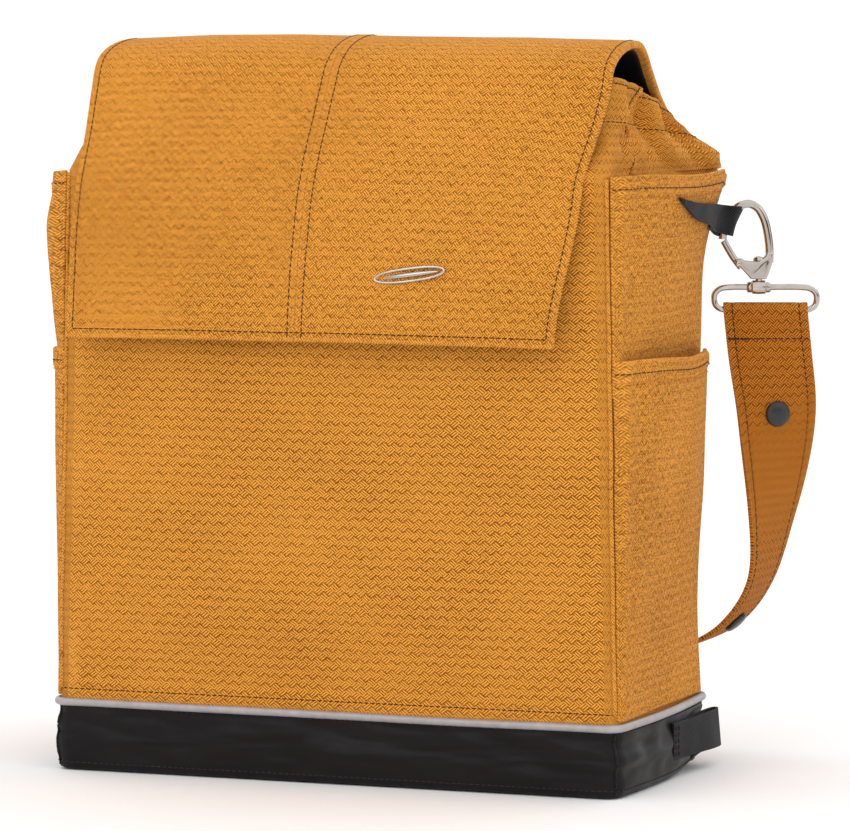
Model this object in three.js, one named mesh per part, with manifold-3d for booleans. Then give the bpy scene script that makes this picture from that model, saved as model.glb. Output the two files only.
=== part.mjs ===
// Soft pushchair changing bag: a stiffened fabric body on a black base boot, two side pockets on
// each side, a tapered neck closed by a padded flap, and a shoulder strap clipped by two swivel
// snap hooks to webbing loops. Millimetres, +Z up, front towards -Y, origin at the centre of the
// base's underside.
import * as THREE from 'three';
import { mergeVertices } from 'three/addons/utils/BufferGeometryUtils.js';
import Module from 'manifold-3d';

const wasm = await Module();
wasm.setup();

// Driving dimensions.
const GAP = 0.3; // between pieces that touch
const FABRIC = 3; // body panels: fabric on foam
const POCKET_FABRIC = 2.2;
const NECK_FABRIC = 2.4;
const LINING = 1;
const LINING_INSET = 2.2; // room for the closure magnets behind the front panel

const BASE_WIDTH = 350; // body across its side seams, at the piping
const BASE_DEPTH = 160;
const TOP_WIDTH = BASE_WIDTH - 12; // and at the pocket hem
const TOP_DEPTH = 164;
const TOP_SHIFT = 3; // how far the body leans back by the pocket hem
const BOOT_HEIGHT = 38;
const BOOT_FLARE = 2; // the boot stands this far outside the body
const SOLE = 2.5;
const BOARD = 3; // stiffener that lies on the sole
const PIPING = 5;
const BODY_TOP = 355; // height of the upper pocket hem

const NECK_WIDTH = TOP_WIDTH - 18; // across the neck's hem
const NECK_FRONT = { y: -45, z: BODY_TOP + 56 };
const NECK_BACK = { y: 60, z: BODY_TOP + 30 };

const UPPER_POCKET = { bottom: 228, top: BODY_TOP, gape: 20 };
const LOWER_POCKET = { bottom: 44, top: 250, gape: 14, over: UPPER_POCKET }; // laps the upper one
const POCKET_EDGE = 4; // pocket seams stand in from the body's corners

const OPEN_TOP = 1.001; // the lining's inner form stands just past its rim

const FLAP_SHELL = 2;
const FLAP_STIFFENER = 1.5;
const FLAP_LINING = 1;
const FLAP_MARGIN = 6; // lining and stiffener stand in from the flap's edge
const FLAP_HINGE = { y: NECK_BACK.y + 1.5, z: NECK_BACK.z + 6 };
const FLAP_FOLD = { y: -62, z: BODY_TOP + 63 };
const FLAP_CREST = [
  { y: 22, z: BODY_TOP + 60 }, { y: -4, z: BODY_TOP + 76 }, { y: -28, z: BODY_TOP + 77 },
  { y: -50, z: BODY_TOP + 71 },
];
const FLAP_FALL = [
  { y: -76, z: BODY_TOP + 28 }, { y: -91, z: BODY_TOP - 7 }, { y: -100, z: BODY_TOP - 50 },
];
const FLAP_HEM = { y: -107, z: BODY_TOP - 96 };
const FLAP_HALF_WIDTHS = { hinge: NECK_WIDTH / 2 - 2, fold: NECK_WIDTH / 2 + 5, hem: NECK_WIDTH / 2 - 10 };
const FLAP_SPREAD = 1.6; // how soon the flap reaches its full width
const FLAP_END_GAP = 0.8; // between the flap's panels and the lines they turn about

const MAGNET = { radius: 9, thickness: 1.5, spread: 95, share: 0.35 }; // share of the way down the hem
const BADGE = { length: 45, height: 12, thickness: 2, x: 59, z: BODY_TOP - 57, lean: 0.1, off: 0.4 };

const WEBBING = 1.4;
const LOOP_HEIGHT = 17.5; // width of the upper webbing loops
const LOOP_ROOT = { from: 8, to: 70, bottom: 314 };
const LOOP_TIP = { x: TOP_WIDTH / 2 + 18, y: 86, length: 14.3, room: 9.4, lean: 0.44, z: 322.75 };
const LOWER_LOOP = { from: 4, to: 84, bottom: 7, height: 24, room: 5.4 };

const STRAP_WIDTH = 50;

const HOOK_POST = { x: TOP_WIDTH / 2 + 34, y: 98 };
const HOOK_YAW = 20; // degrees that each hook and ring turns to face outwards
const HOOK_WIRE = 1.8;
const HOOK_THICKNESS = 8;
const RING = { width: STRAP_WIDTH + 11, shift: 4, top: 284, bottom: 270.5, wire: 1.8, corner: 5 };
const COLLAR = { radius: 4, length: 14 };
const STEM = 2;
const STEM_HEAD = { radius: 3.6, height: 2.4 };
const STEM_CLEARANCE = 0.35;
const GATE = { u: -12.6, z: 298.2, barrel: 2.4, length: 3.4, pin: 0.8 };
const GATE_TIP = { u: -20.9, z: 310.9 };
const GATE_SLOT = { from: -20, to: -9.4, floor: 4.6, top: 304 }; // cut in the hook's foot for the gate
const PIN_CLEARANCE = 0.3;
const HOOK_FOOT = { bottom: RING.top + COLLAR.radius + GAP, top: 299.6 };
const HOOK_FOOT_OUTLINE = [
  [-16, 297.4], [-14.6, 301.4], [-10.6, 302], [-7.6, HOOK_FOOT.top], [3.4, HOOK_FOOT.top], [5.2, 302.6],
  [8.2, 302.6], [8, 297], [4.4, HOOK_FOOT.bottom], [-5, HOOK_FOOT.bottom],
];
const HOOK_NOSE = [
  [-21.3, 313], [-20.2, 320], [-17, 327], [-12.5, 332], [-6, 334.5], [0, 332],
  [4, 325], [6, 314], [6.6, 305], [6, 297],
];

const STRAP = 2.4;
const STRAP_FOLD = 0.6; // room between the ring's bar and the strap folded around it
const STRAP_TAIL = 17;
const STRAP_TAIL_GAP = 0.4;
const STRAP_TWIST = 175; // the strap turns from facing out to lying flat over this length
const STRAP_ROUTE = [ // x is a share of the way from the middle to the hook's post
  [1.037, 97, 245], [1.057, 98, 208], [1.042, 101, 150], [1, 105, 108], [0.906, 110, 82],
  [0.778, 113, 67], [0.542, 114, 56], [0.246, 114, 51], [0, 114, 50],
];
const SNAP = { cap: 7.7, capHeight: 2.6, shank: 2, socket: 6, socketHeight: 2.4, seat: 1.3 };
const SNAP_PLACES = { upper: 62, lower: 196 }; // along the strap, below each ring

const COLOURS = {
  fabric: [0xd5933f, 0.9, 0], lining: [0x141314, 0.8, 0], boot: [0x1c1a1b, 0.7, 0],
  webbing: [0x151314, 0.85, 0], piping: [0x9a9aa0, 0.4, 0.1], metal: [0xc9c6c2, 0.18, 1],
  board: [0x35353a, 0.8, 0], cap: [0x1a1a1c, 0.35, 0], magnet: [0x8c8c90, 0.4, 1],
  foam: [0x3a3a3c, 0.95, 0],
};

const SIDES = [['left', -1], ['right', 1]];
const bag = new THREE.Group();

// ---------------------------------------------------------------- helpers

function lerp(a, b, t) {
  return a + (b - a) * t;
}

function smooth(t) {
  const s = Math.min(Math.max(t, 0), 1);
  return s * s * (3 - 2 * s);
}

/** Merges a geometry's shared corners and turns its faces outwards. */
function closed(geometry) {
  const bare = geometry.clone();
  for (const name of ['normal', 'uv']) {
    bare.deleteAttribute(name);
  }
  const merged = mergeVertices(bare, 1e-4);
  const place = merged.attributes.position;
  const index = merged.index.array;
  const [a, b, c] = [new THREE.Vector3(), new THREE.Vector3(), new THREE.Vector3()];
  let volume = 0;
  for (let i = 0; i < index.length; i += 3) {
    a.fromBufferAttribute(place, index[i]);
    b.fromBufferAttribute(place, index[i + 1]);
    c.fromBufferAttribute(place, index[i + 2]);
    volume += a.dot(b.cross(c));
  }
  if (volume < 0) {
    for (let i = 0; i < index.length; i += 3) {
      [index[i + 1], index[i + 2]] = [index[i + 2], index[i + 1]];
    }
  }
  merged.computeVertexNormals();
  return merged;
}

function toSolid(geometry) {
  const merged = closed(geometry);
  return new wasm.Manifold(new wasm.Mesh({
    numProp: 3,
    vertProperties: merged.attributes.position.array,
    triVerts: new Uint32Array(merged.index.array),
  }));
}

function toGeometry(solid) {
  const mesh = solid.getMesh();
  const geometry = new THREE.BufferGeometry();
  geometry.setAttribute('position', new THREE.BufferAttribute(mesh.vertProperties, 3));
  geometry.setIndex(new THREE.BufferAttribute(mesh.triVerts, 1));
  return closed(geometry);
}

function joined(...geometries) {
  return toGeometry(geometries.map(toSolid).reduce((sum, next) => sum.add(next)));
}

function cut(geometry, ...tools) {
  return toGeometry(tools.map(toSolid).reduce((rest, tool) => rest.subtract(tool), toSolid(geometry)));
}

/** A box with nu by nv cells whose corners go where place(u, v, w) says, each from 0 to 1. */
function bent(nu, nv, place) {
  const geometry = new THREE.BoxGeometry(1, 1, 1, nu, nv, 1);
  const corners = geometry.attributes.position;
  for (let i = 0; i < corners.count; i += 1) {
    const p = place(corners.getX(i) + 0.5, corners.getY(i) + 0.5, corners.getZ(i) + 0.5);
    corners.setXYZ(i, p.x, p.y, p.z);
  }
  return closed(geometry);
}

/** The copy of a right-hand piece for one side: -1 mirrors it across the YZ plane. */
function onSide(geometry, side) {
  return closed(geometry.clone().scale(side, 1, 1));
}

function slab(x0, x1, y0, y1, z0, z1) {
  const box = new THREE.BoxGeometry(x1 - x0, y1 - y0, z1 - z0);
  return closed(box.translate((x0 + x1) / 2, (y0 + y1) / 2, (z0 + z1) / 2));
}

function cylinder(radius, length, axis, centre, sides = 20) {
  const geometry = new THREE.CylinderGeometry(radius, radius, length, sides);
  const turn = new THREE.Quaternion().setFromUnitVectors(new THREE.Vector3(0, 1, 0), axis);
  return closed(geometry.applyQuaternion(turn).translate(centre.x, centre.y, centre.z));
}

/** A round wire along a curve. */
function wire(curve, radius, steps, sides = 10) {
  const section = new THREE.Shape();
  section.absarc(0, 0, radius, 0, Math.PI * 2);
  return closed(new THREE.ExtrudeGeometry(section, {
    extrudePath: curve, steps, curveSegments: sides / 2,
  }));
}

/** A plate: an outline of [x, z] points, of the given thickness about y = 0. */
function plate(outline, thickness) {
  const shape = new THREE.Shape(outline.map(([x, z]) => new THREE.Vector2(x, z)));
  const geometry = new THREE.ExtrudeGeometry(shape, { depth: thickness, bevelEnabled: false });
  return closed(geometry.rotateX(Math.PI / 2).translate(0, thickness / 2, 0));
}

function add(name, geometry, colour, parent = bag) {
  const [color, roughness, metalness] = COLOURS[colour];
  const material = new THREE.MeshStandardMaterial({ color, roughness, metalness });
  const mesh = new THREE.Mesh(geometry, material);
  mesh.name = name;
  parent.add(mesh);
  return mesh;
}

// ---------------------------------------------------------------- body

/** The body's outer faces at height z: half its width, and its front and back. */
function bodyAt(z) {
  const t = (z - BOOT_HEIGHT - PIPING) / (BODY_TOP - BOOT_HEIGHT - PIPING);
  const depth = lerp(BASE_DEPTH, TOP_DEPTH, t);
  const middle = lerp(0, TOP_SHIFT, t);
  return {
    half: lerp(BASE_WIDTH, TOP_WIDTH, t) / 2,
    front: middle - depth / 2,
    back: middle + depth / 2,
  };
}

/** The neck's outer faces at t from its foot to its hem. */
function neckAt(t) {
  const foot = bodyAt(BODY_TOP);
  return {
    half: lerp(foot.half, NECK_WIDTH / 2, t),
    front: lerp(foot.front, NECK_FRONT.y, t),
    back: lerp(foot.back, NECK_BACK.y, t),
    frontZ: lerp(BODY_TOP + GAP, NECK_FRONT.z, t),
    backZ: lerp(BODY_TOP + GAP, NECK_BACK.z, t),
  };
}

function addBoot() {
  const at = bodyAt(BOOT_HEIGHT);
  const half = at.half + BOOT_FLARE;
  const front = at.front - BOOT_FLARE;
  const back = at.back + BOOT_FLARE;
  const low = SOLE + GAP;
  const inner = FABRIC + GAP;
  add('base_bottom', slab(-half, half, front, back, 0, SOLE), 'boot');
  add('boot_front', slab(-half, half, front, front + FABRIC, low, BOOT_HEIGHT), 'boot');
  add('boot_back', slab(-half, half, back - FABRIC, back, low, BOOT_HEIGHT), 'boot');
  for (const [name, side] of SIDES) {
    const wall = slab(half - FABRIC, half, front + inner, back - inner, low, BOOT_HEIGHT);
    add(`boot_${name}`, onSide(wall, side), 'boot');
  }
  const room = inner + LINING_INSET + LINING;
  add('base_board', slab(room - half, half - room, front + room, back - room, low, low + BOARD), 'board');
}

function addPiping() {
  const at = bodyAt(BOOT_HEIGHT);
  const outer = BOOT_FLARE + 1;
  const ring = slab(
    -at.half - outer, at.half + outer, at.front - outer, at.back + outer,
    BOOT_HEIGHT + GAP, BOOT_HEIGHT + PIPING - GAP,
  );
  const hole = slab(
    FABRIC - at.half, at.half - FABRIC, at.front + FABRIC, at.back - FABRIC,
    BOOT_HEIGHT - 1, BOOT_HEIGHT + PIPING + 1,
  );
  add('reflective_piping', cut(ring, hole), 'piping');
}

/** A front or back wall that spans the full width; inward is +1 on the front. */
function crossWall(face, thickness, inward) {
  return bent(1, 1, (u, v, w) => {
    const at = face(v);
    return new THREE.Vector3(lerp(-at.half, at.half, u), at.y + inward * w * thickness, at.z);
  });
}

function addBodyPanels() {
  const bottom = BOOT_HEIGHT + PIPING;
  const heightAt = (v) => lerp(bottom, BODY_TOP, v);
  const faceAt = (v, key) => {
    const section = bodyAt(heightAt(v));
    return { half: section.half, y: section[key], z: heightAt(v) };
  };
  add('front_panel', crossWall((v) => faceAt(v, 'front'), FABRIC, 1), 'fabric');
  add('back_panel', crossWall((v) => faceAt(v, 'back'), FABRIC, -1), 'fabric');
  const wall = bent(1, 1, (u, v, w) => {
    const at = bodyAt(heightAt(v));
    const inner = FABRIC + GAP;
    return new THREE.Vector3(
      at.half - w * FABRIC, lerp(at.front + inner, at.back - inner, u), heightAt(v),
    );
  });
  for (const [name, side] of SIDES) {
    add(`side_panel_${name}`, onSide(wall, side), 'fabric');
  }
}

function addNeck() {
  const faceAt = (v, key) => ({ half: neckAt(v).half, y: neckAt(v)[key], z: neckAt(v)[`${key}Z`] });
  add('neck_front', crossWall((v) => faceAt(v, 'front'), NECK_FABRIC, 1), 'fabric');
  add('neck_back', crossWall((v) => faceAt(v, 'back'), NECK_FABRIC, -1), 'fabric');
  const wall = bent(1, 1, (u, v, w) => {
    const at = neckAt(v);
    const inner = NECK_FABRIC + GAP;
    return new THREE.Vector3(
      at.half - w * NECK_FABRIC,
      lerp(at.front + inner, at.back - inner, u),
      lerp(at.frontZ, at.backZ, u),
    );
  });
  for (const [name, side] of SIDES) {
    add(`neck_${name}`, onSide(wall, side), 'fabric');
  }
}

/** The black bag liner: an open box that follows the body's walls. */
function addLining() {
  const foot = SOLE + BOARD + 3 * GAP;
  const liner = (inset, low) => bent(1, 1, (u, v, w) => {
    const z = lerp(low, BODY_TOP, w);
    const at = bodyAt(z);
    return new THREE.Vector3(
      lerp(inset - at.half, at.half - inset, u), lerp(at.front + inset, at.back - inset, v), z,
    );
  });
  const outer = FABRIC + LINING_INSET;
  const hollow = liner(outer + LINING, foot + LINING).scale(1, 1, OPEN_TOP);
  add('lining', cut(liner(outer, foot), hollow), 'lining');
}

// ---------------------------------------------------------------- pockets

/** How far a pocket's outer wall stands from the body at y and z, at its inner face. */
function pocketRoom(pocket, y, z) {
  const at = bodyAt(z);
  const along = (y - at.front - POCKET_EDGE) / (at.back - at.front - 2 * POCKET_EDGE);
  const rise = (z - pocket.bottom) / (pocket.top - pocket.bottom);
  const bow = Math.sin(Math.PI * Math.min(Math.max(along, 0), 1)) ** 0.7;
  const over = pocket.over ? smooth((z - pocket.bottom) / (pocket.over.bottom - pocket.bottom)) : 0;
  return GAP + over * (POCKET_FABRIC + GAP) + pocket.gape * Math.max(rise, 0) * bow;
}

function addPockets() {
  const pockets = [['upper_pocket', UPPER_POCKET], ['lower_pocket', LOWER_POCKET]];
  for (const [pocketName, pocket] of pockets) {
    const wall = bent(10, 6, (u, v, w) => {
      const z = lerp(pocket.bottom, pocket.top, v);
      const at = bodyAt(z);
      const y = lerp(at.front + POCKET_EDGE, at.back - POCKET_EDGE, u);
      const x = at.half + pocketRoom(pocket, y, z) + w * POCKET_FABRIC;
      return new THREE.Vector3(x, y, z);
    });
    for (const [name, side] of SIDES) {
      add(`${pocketName}_${name}`, onSide(wall, side), 'fabric');
    }
  }
}

// ---------------------------------------------------------------- webbing loops

/** The sewn end of an upper loop, two layers lying on the upper pocket. */
function loopRoot() {
  return bent(6, 1, (u, v, w) => {
    const y = lerp(LOOP_ROOT.from, LOOP_ROOT.to, u);
    const z = lerp(LOOP_ROOT.bottom, LOOP_ROOT.bottom + LOOP_HEIGHT, v);
    const seat = bodyAt(z).half + pocketRoom(UPPER_POCKET, y, z) + POCKET_FABRIC + GAP;
    return new THREE.Vector3(seat + w * 2 * WEBBING, y, z);
  });
}

/** A fold of webbing seen from above: two layers joined by a round end, open towards -Y. */
function foldOutline(x, from, to, room) {
  const inner = room / 2;
  const outer = inner + WEBBING;
  const turn = to - outer;
  const shape = new THREE.Shape();
  shape.moveTo(x + outer, from);
  shape.absarc(x, turn, outer, 0, Math.PI);
  shape.lineTo(x - outer, from);
  shape.lineTo(x - inner, from);
  shape.absarc(x, turn, inner, Math.PI, 0, true);
  shape.lineTo(x + inner, from);
  return shape;
}

/** The folded end of an upper loop. It leans with the hook's wire that it holds. */
function loopTip() {
  const shape = foldOutline(0, 0, LOOP_TIP.length, LOOP_TIP.room);
  const geometry = new THREE.ExtrudeGeometry(shape, {
    depth: LOOP_HEIGHT, bevelEnabled: false, curveSegments: 8,
  });
  geometry.translate(0, 0, -LOOP_HEIGHT / 2);
  const lean = new THREE.Matrix4().makeShear(0, 0, 0, 0, LOOP_TIP.lean, 0);
  geometry.applyMatrix4(lean);
  return closed(geometry.translate(LOOP_TIP.x, LOOP_TIP.y, LOOP_TIP.z));
}

/** A lower loop: its layers lie on the boot and part towards the fold. */
function lowerLoop() {
  const seat = bodyAt(BOOT_HEIGHT).half + BOOT_FLARE + 1 + GAP;
  const middle = seat + WEBBING + LOWER_LOOP.room / 2;
  const shape = foldOutline(middle, LOWER_LOOP.from, LOWER_LOOP.to, LOWER_LOOP.room);
  const band = new THREE.ExtrudeGeometry(shape, {
    depth: LOWER_LOOP.height, bevelEnabled: false, curveSegments: 8,
  }).translate(0, 0, LOWER_LOOP.bottom);
  const seam = slab(
    middle - LOWER_LOOP.room / 2 - WEBBING, middle + LOWER_LOOP.room / 2 + WEBBING,
    LOWER_LOOP.from, LOWER_LOOP.from + 2 * WEBBING,
    LOWER_LOOP.bottom, LOWER_LOOP.bottom + LOWER_LOOP.height,
  );
  return joined(band, seam);
}

function addLoops(strap) {
  for (const [name, side] of SIDES) {
    add(`loop_root_${name}`, onSide(loopRoot(), side), 'webbing');
    add(`lower_loop_${name}`, onSide(lowerLoop(), side), 'webbing');
    add(`loop_tip_${name}`, onSide(loopTip(), side), 'webbing', strap);
  }
}

// ---------------------------------------------------------------- flap

/** Points along the flap's outer face with their inward normals, and how far along they are.
 *  ahead and behind are the points past its ends, so that the two halves meet in a mitre. */
function flapPath(points, ahead = points[0], behind = points[points.length - 1]) {
  const lengths = [0];
  for (let i = 1; i < points.length; i += 1) {
    const step = Math.hypot(points[i].y - points[i - 1].y, points[i].z - points[i - 1].z);
    lengths.push(lengths[i - 1] + step);
  }
  return points.map((point, i) => {
    const before = points[i - 1] ?? ahead;
    const after = points[i + 1] ?? behind;
    const run = Math.hypot(after.y - before.y, after.z - before.z);
    return {
      ...point,
      inward: { y: -(after.z - before.z) / run, z: (after.y - before.y) / run },
      along: lengths[i] / lengths[lengths.length - 1],
    };
  });
}

/** The point a short way from a towards b. */
function stepTowards(a, b, distance) {
  const t = distance / Math.hypot(b.y - a.y, b.z - a.z);
  return { y: lerp(a.y, b.y, t), z: lerp(a.z, b.z, t) };
}

/** A layer of the flap between two fractions of its width, depth below the outer face. */
function flapLayer(path, halfAt, from, to, depth, thickness, margin) {
  return bent(1, path.length - 1, (u, v, w) => {
    const at = path[Math.round(v * (path.length - 1))];
    const half = halfAt(at.along) - margin;
    const x0 = from < 0 ? from * half : from * half + GAP / 2;
    const x1 = to > 0 ? to * half : to * half - GAP / 2;
    const sink = depth + w * thickness;
    return new THREE.Vector3(lerp(x0, x1, u), at.y + at.inward.y * sink, at.z + at.inward.z * sink);
  });
}

/** One half of the flap: two shells that meet at the middle seam, a stiffener and a lining. */
function addFlapPart(name, path, halfAt, group, holes) {
  const under = FLAP_SHELL + GAP;
  const last = under + FLAP_STIFFENER + GAP;
  add(`${name}_left`, flapLayer(path, halfAt, -1, 0, 0, FLAP_SHELL, 0), 'fabric', group);
  add(`${name}_right`, flapLayer(path, halfAt, 0, 1, 0, FLAP_SHELL, 0), 'fabric', group);
  const core = flapLayer(path, halfAt, -1, 1, under, FLAP_STIFFENER, FLAP_MARGIN);
  add(`${name}_stiffener`, holes.length ? cut(core, ...holes) : core, 'foam', group);
  add(`${name}_lining`, flapLayer(path, halfAt, -1, 1, last, FLAP_LINING, 0), 'lining', group);
}

/** A disc lying in the flap's lowest stretch, part way between its last two points. */
function flapDisc(radius, thickness, depth, x, share) {
  const above = FLAP_FALL[FLAP_FALL.length - 1];
  const run = new THREE.Vector3(0, FLAP_HEM.y - above.y, FLAP_HEM.z - above.z).normalize();
  const inward = new THREE.Vector3(0, -run.z, run.y);
  const centre = new THREE.Vector3(
    x, lerp(above.y, FLAP_HEM.y, share), lerp(above.z, FLAP_HEM.z, share),
  ).addScaledVector(inward, depth);
  return cylinder(radius, thickness, inward, centre, 24);
}

function addFlap() {
  const top = new THREE.Group();
  const front = new THREE.Group();
  bag.add(top);
  top.add(front);

  const { hinge, fold, hem } = FLAP_HALF_WIDTHS;
  const topPoints = [
    stepTowards(FLAP_HINGE, FLAP_CREST[0], FLAP_END_GAP),
    ...FLAP_CREST,
    stepTowards(FLAP_FOLD, FLAP_CREST[FLAP_CREST.length - 1], FLAP_END_GAP),
  ];
  const topPath = flapPath(topPoints, undefined, FLAP_FALL[0]);
  addFlapPart('flap_top', topPath, (along) => lerp(hinge, fold, smooth(FLAP_SPREAD * along)), top, []);

  const frontPoints = [stepTowards(FLAP_FOLD, FLAP_FALL[0], FLAP_END_GAP), ...FLAP_FALL, FLAP_HEM];
  const frontPath = flapPath(frontPoints, FLAP_CREST[FLAP_CREST.length - 1]);
  const depth = FLAP_SHELL + GAP + FLAP_STIFFENER / 2;
  const { share } = MAGNET;
  const holes = SIDES.map(([, side]) => (
    flapDisc(MAGNET.radius + GAP, MAGNET.thickness + 1, depth, side * MAGNET.spread, share)
  ));
  addFlapPart('flap_front', frontPath, (along) => lerp(fold, hem, along), front, holes);
  for (const [name, side] of SIDES) {
    const disc = flapDisc(MAGNET.radius, MAGNET.thickness, depth, side * MAGNET.spread, share);
    add(`flap_magnet_${name}`, disc, 'magnet', front);
  }
  addBadge(front);
}

/** A plain bright bar with round ends, standing on the flap. */
function addBadge(group) {
  const radius = BADGE.height / 2;
  const reach = BADGE.length / 2 - radius;
  const shape = new THREE.Shape();
  shape.absarc(reach, 0, radius, -Math.PI / 2, Math.PI / 2);
  shape.absarc(-reach, 0, radius, Math.PI / 2, 1.5 * Math.PI);
  const above = FLAP_FALL[FLAP_FALL.length - 1];
  const before = FLAP_FALL[FLAP_FALL.length - 2];
  const lean = Math.atan2(before.y - FLAP_HEM.y, before.z - FLAP_HEM.z);
  const geometry = new THREE.ExtrudeGeometry(shape, {
    depth: BADGE.thickness, bevelEnabled: false, curveSegments: 8,
  });
  geometry.rotateX(Math.PI / 2 - lean);
  geometry.translate(BADGE.x, lerp(above.y, FLAP_HEM.y, BADGE.lean) - GAP - BADGE.off, BADGE.z);
  add('badge', closed(geometry), 'metal', group);
}

/** Magnets that the flap's magnets meet, behind the front panel. */
function addPanelMagnets() {
  const z = lerp(FLAP_FALL[FLAP_FALL.length - 1].z, FLAP_HEM.z, MAGNET.share);
  const y = bodyAt(z).front + FABRIC + GAP + MAGNET.thickness / 2;
  for (const [name, side] of SIDES) {
    const centre = new THREE.Vector3(side * MAGNET.spread, y, z);
    const disc = cylinder(MAGNET.radius, MAGNET.thickness, new THREE.Vector3(0, 1, 0), centre, 24);
    add(`panel_magnet_${name}`, disc, 'magnet');
  }
}

// ---------------------------------------------------------------- snap hooks
// Hook pieces are drawn about their post: x along the ring, y through it, z in the bag's frame.

function place(geometry, side) {
  const turned = geometry.clone().rotateZ(THREE.MathUtils.degToRad(HOOK_YAW));
  return onSide(turned.translate(HOOK_POST.x, HOOK_POST.y, 0), side);
}

/** The wide wire ring for the strap, with the collar and the stem that the hook turns on. */
function strapRing() {
  const { width, shift, top, bottom, corner } = RING;
  const middle = (top + bottom) / 2;
  const half = (turn) => {
    const end = width / 2;
    const level = turn > 0 ? top : bottom;
    const path = new THREE.CurvePath();
    const points = [
      [shift - end, middle - turn], [shift - end, level - turn * corner],
      [shift - end + corner, level], [shift + end - corner, level],
      [shift + end, level - turn * corner], [shift + end, middle - turn],
    ].map(([x, z]) => new THREE.Vector3(x, 0, z));
    const bend = (from, x, to) => (
      new THREE.QuadraticBezierCurve3(from, new THREE.Vector3(x, 0, level), to)
    );
    path.add(new THREE.LineCurve3(points[0], points[1]));
    path.add(bend(points[1], shift - end, points[2]));
    path.add(new THREE.LineCurve3(points[2], points[3]));
    path.add(bend(points[3], shift + end, points[4]));
    path.add(new THREE.LineCurve3(points[4], points[5]));
    return wire(path, RING.wire, 26);
  };
  const collar = cylinder(
    COLLAR.radius, COLLAR.length, new THREE.Vector3(1, 0, 0), new THREE.Vector3(0, 0, top), 16,
  );
  const stem = new THREE.LatheGeometry([
    new THREE.Vector2(0, top),
    new THREE.Vector2(STEM, top),
    new THREE.Vector2(STEM, HOOK_FOOT.top + GAP),
    new THREE.Vector2(STEM_HEAD.radius, HOOK_FOOT.top + GAP),
    new THREE.Vector2(STEM_HEAD.radius * 0.6, HOOK_FOOT.top + GAP + STEM_HEAD.height),
    new THREE.Vector2(0, HOOK_FOOT.top + GAP + STEM_HEAD.height),
  ], 16).rotateX(Math.PI / 2);
  return joined(half(1), half(-1), collar, stem);
}

// The hook's solid foot, from just above the collar to the floor of its opening.
function hookBody() {
  const nose = HOOK_NOSE.map(([x, z]) => new THREE.Vector3(x, 0, z));
  const frame = wire(new THREE.CatmullRomCurve3(nose), HOOK_WIRE, 28);
  const foot = plate(HOOK_FOOT_OUTLINE, HOOK_THICKNESS);
  const slot = slab(
    GATE_SLOT.from, GATE_SLOT.to, -GATE.length / 2 - GAP, GATE.length / 2 + GAP,
    HOOK_FOOT.bottom + GATE_SLOT.floor, GATE_SLOT.top,
  );
  const bore = cylinder(
    STEM + STEM_CLEARANCE, 30, new THREE.Vector3(0, 0, 1), new THREE.Vector3(0, 0, HOOK_FOOT.bottom + 5),
  );
  const pinHole = cylinder(
    GATE.pin + PIN_CLEARANCE, 20, new THREE.Vector3(0, 1, 0), new THREE.Vector3(GATE.u, 0, GATE.z), 12,
  );
  return cut(joined(frame, foot), slot, bore, pinHole);
}

function gateBody() {
  const pivot = new THREE.Vector3(GATE.u, 0, GATE.z);
  const tip = new THREE.Vector3(GATE_TIP.u, 0, GATE_TIP.z);
  const across = new THREE.Vector3(0, 1, 0);
  const barrel = cylinder(GATE.barrel, GATE.length, across, pivot, 16);
  const lever = wire(new THREE.LineCurve3(pivot, tip), GATE.length / 2, 1);
  const hole = cylinder(GATE.pin + PIN_CLEARANCE, 20, across, pivot, 12);
  return cut(joined(barrel, lever), hole);
}

function gatePin() {
  const centre = new THREE.Vector3(GATE.u, 0, GATE.z);
  return cylinder(GATE.pin, HOOK_THICKNESS, new THREE.Vector3(0, 1, 0), centre, 12);
}

function addHooks(strap) {
  for (const [name, side] of SIDES) {
    const hook = new THREE.Group();
    strap.add(hook);
    add(`strap_ring_${name}`, place(strapRing(), side), 'metal', strap);
    add(`snap_hook_${name}`, place(hookBody(), side), 'metal', hook);
    add(`gate_pin_${name}`, place(gatePin(), side), 'metal', hook);
    add(`gate_${name}`, place(gateBody(), side), 'metal', hook);
  }
}

// ---------------------------------------------------------------- strap

const OUT = new THREE.Vector3(1, 0, 0).applyAxisAngle(
  new THREE.Vector3(0, 0, 1), THREE.MathUtils.degToRad(HOOK_YAW),
); // along the right ring's bars
const FACE = new THREE.Vector3(OUT.y, -OUT.x, 0); // the way the strap's outer face looks there

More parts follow.
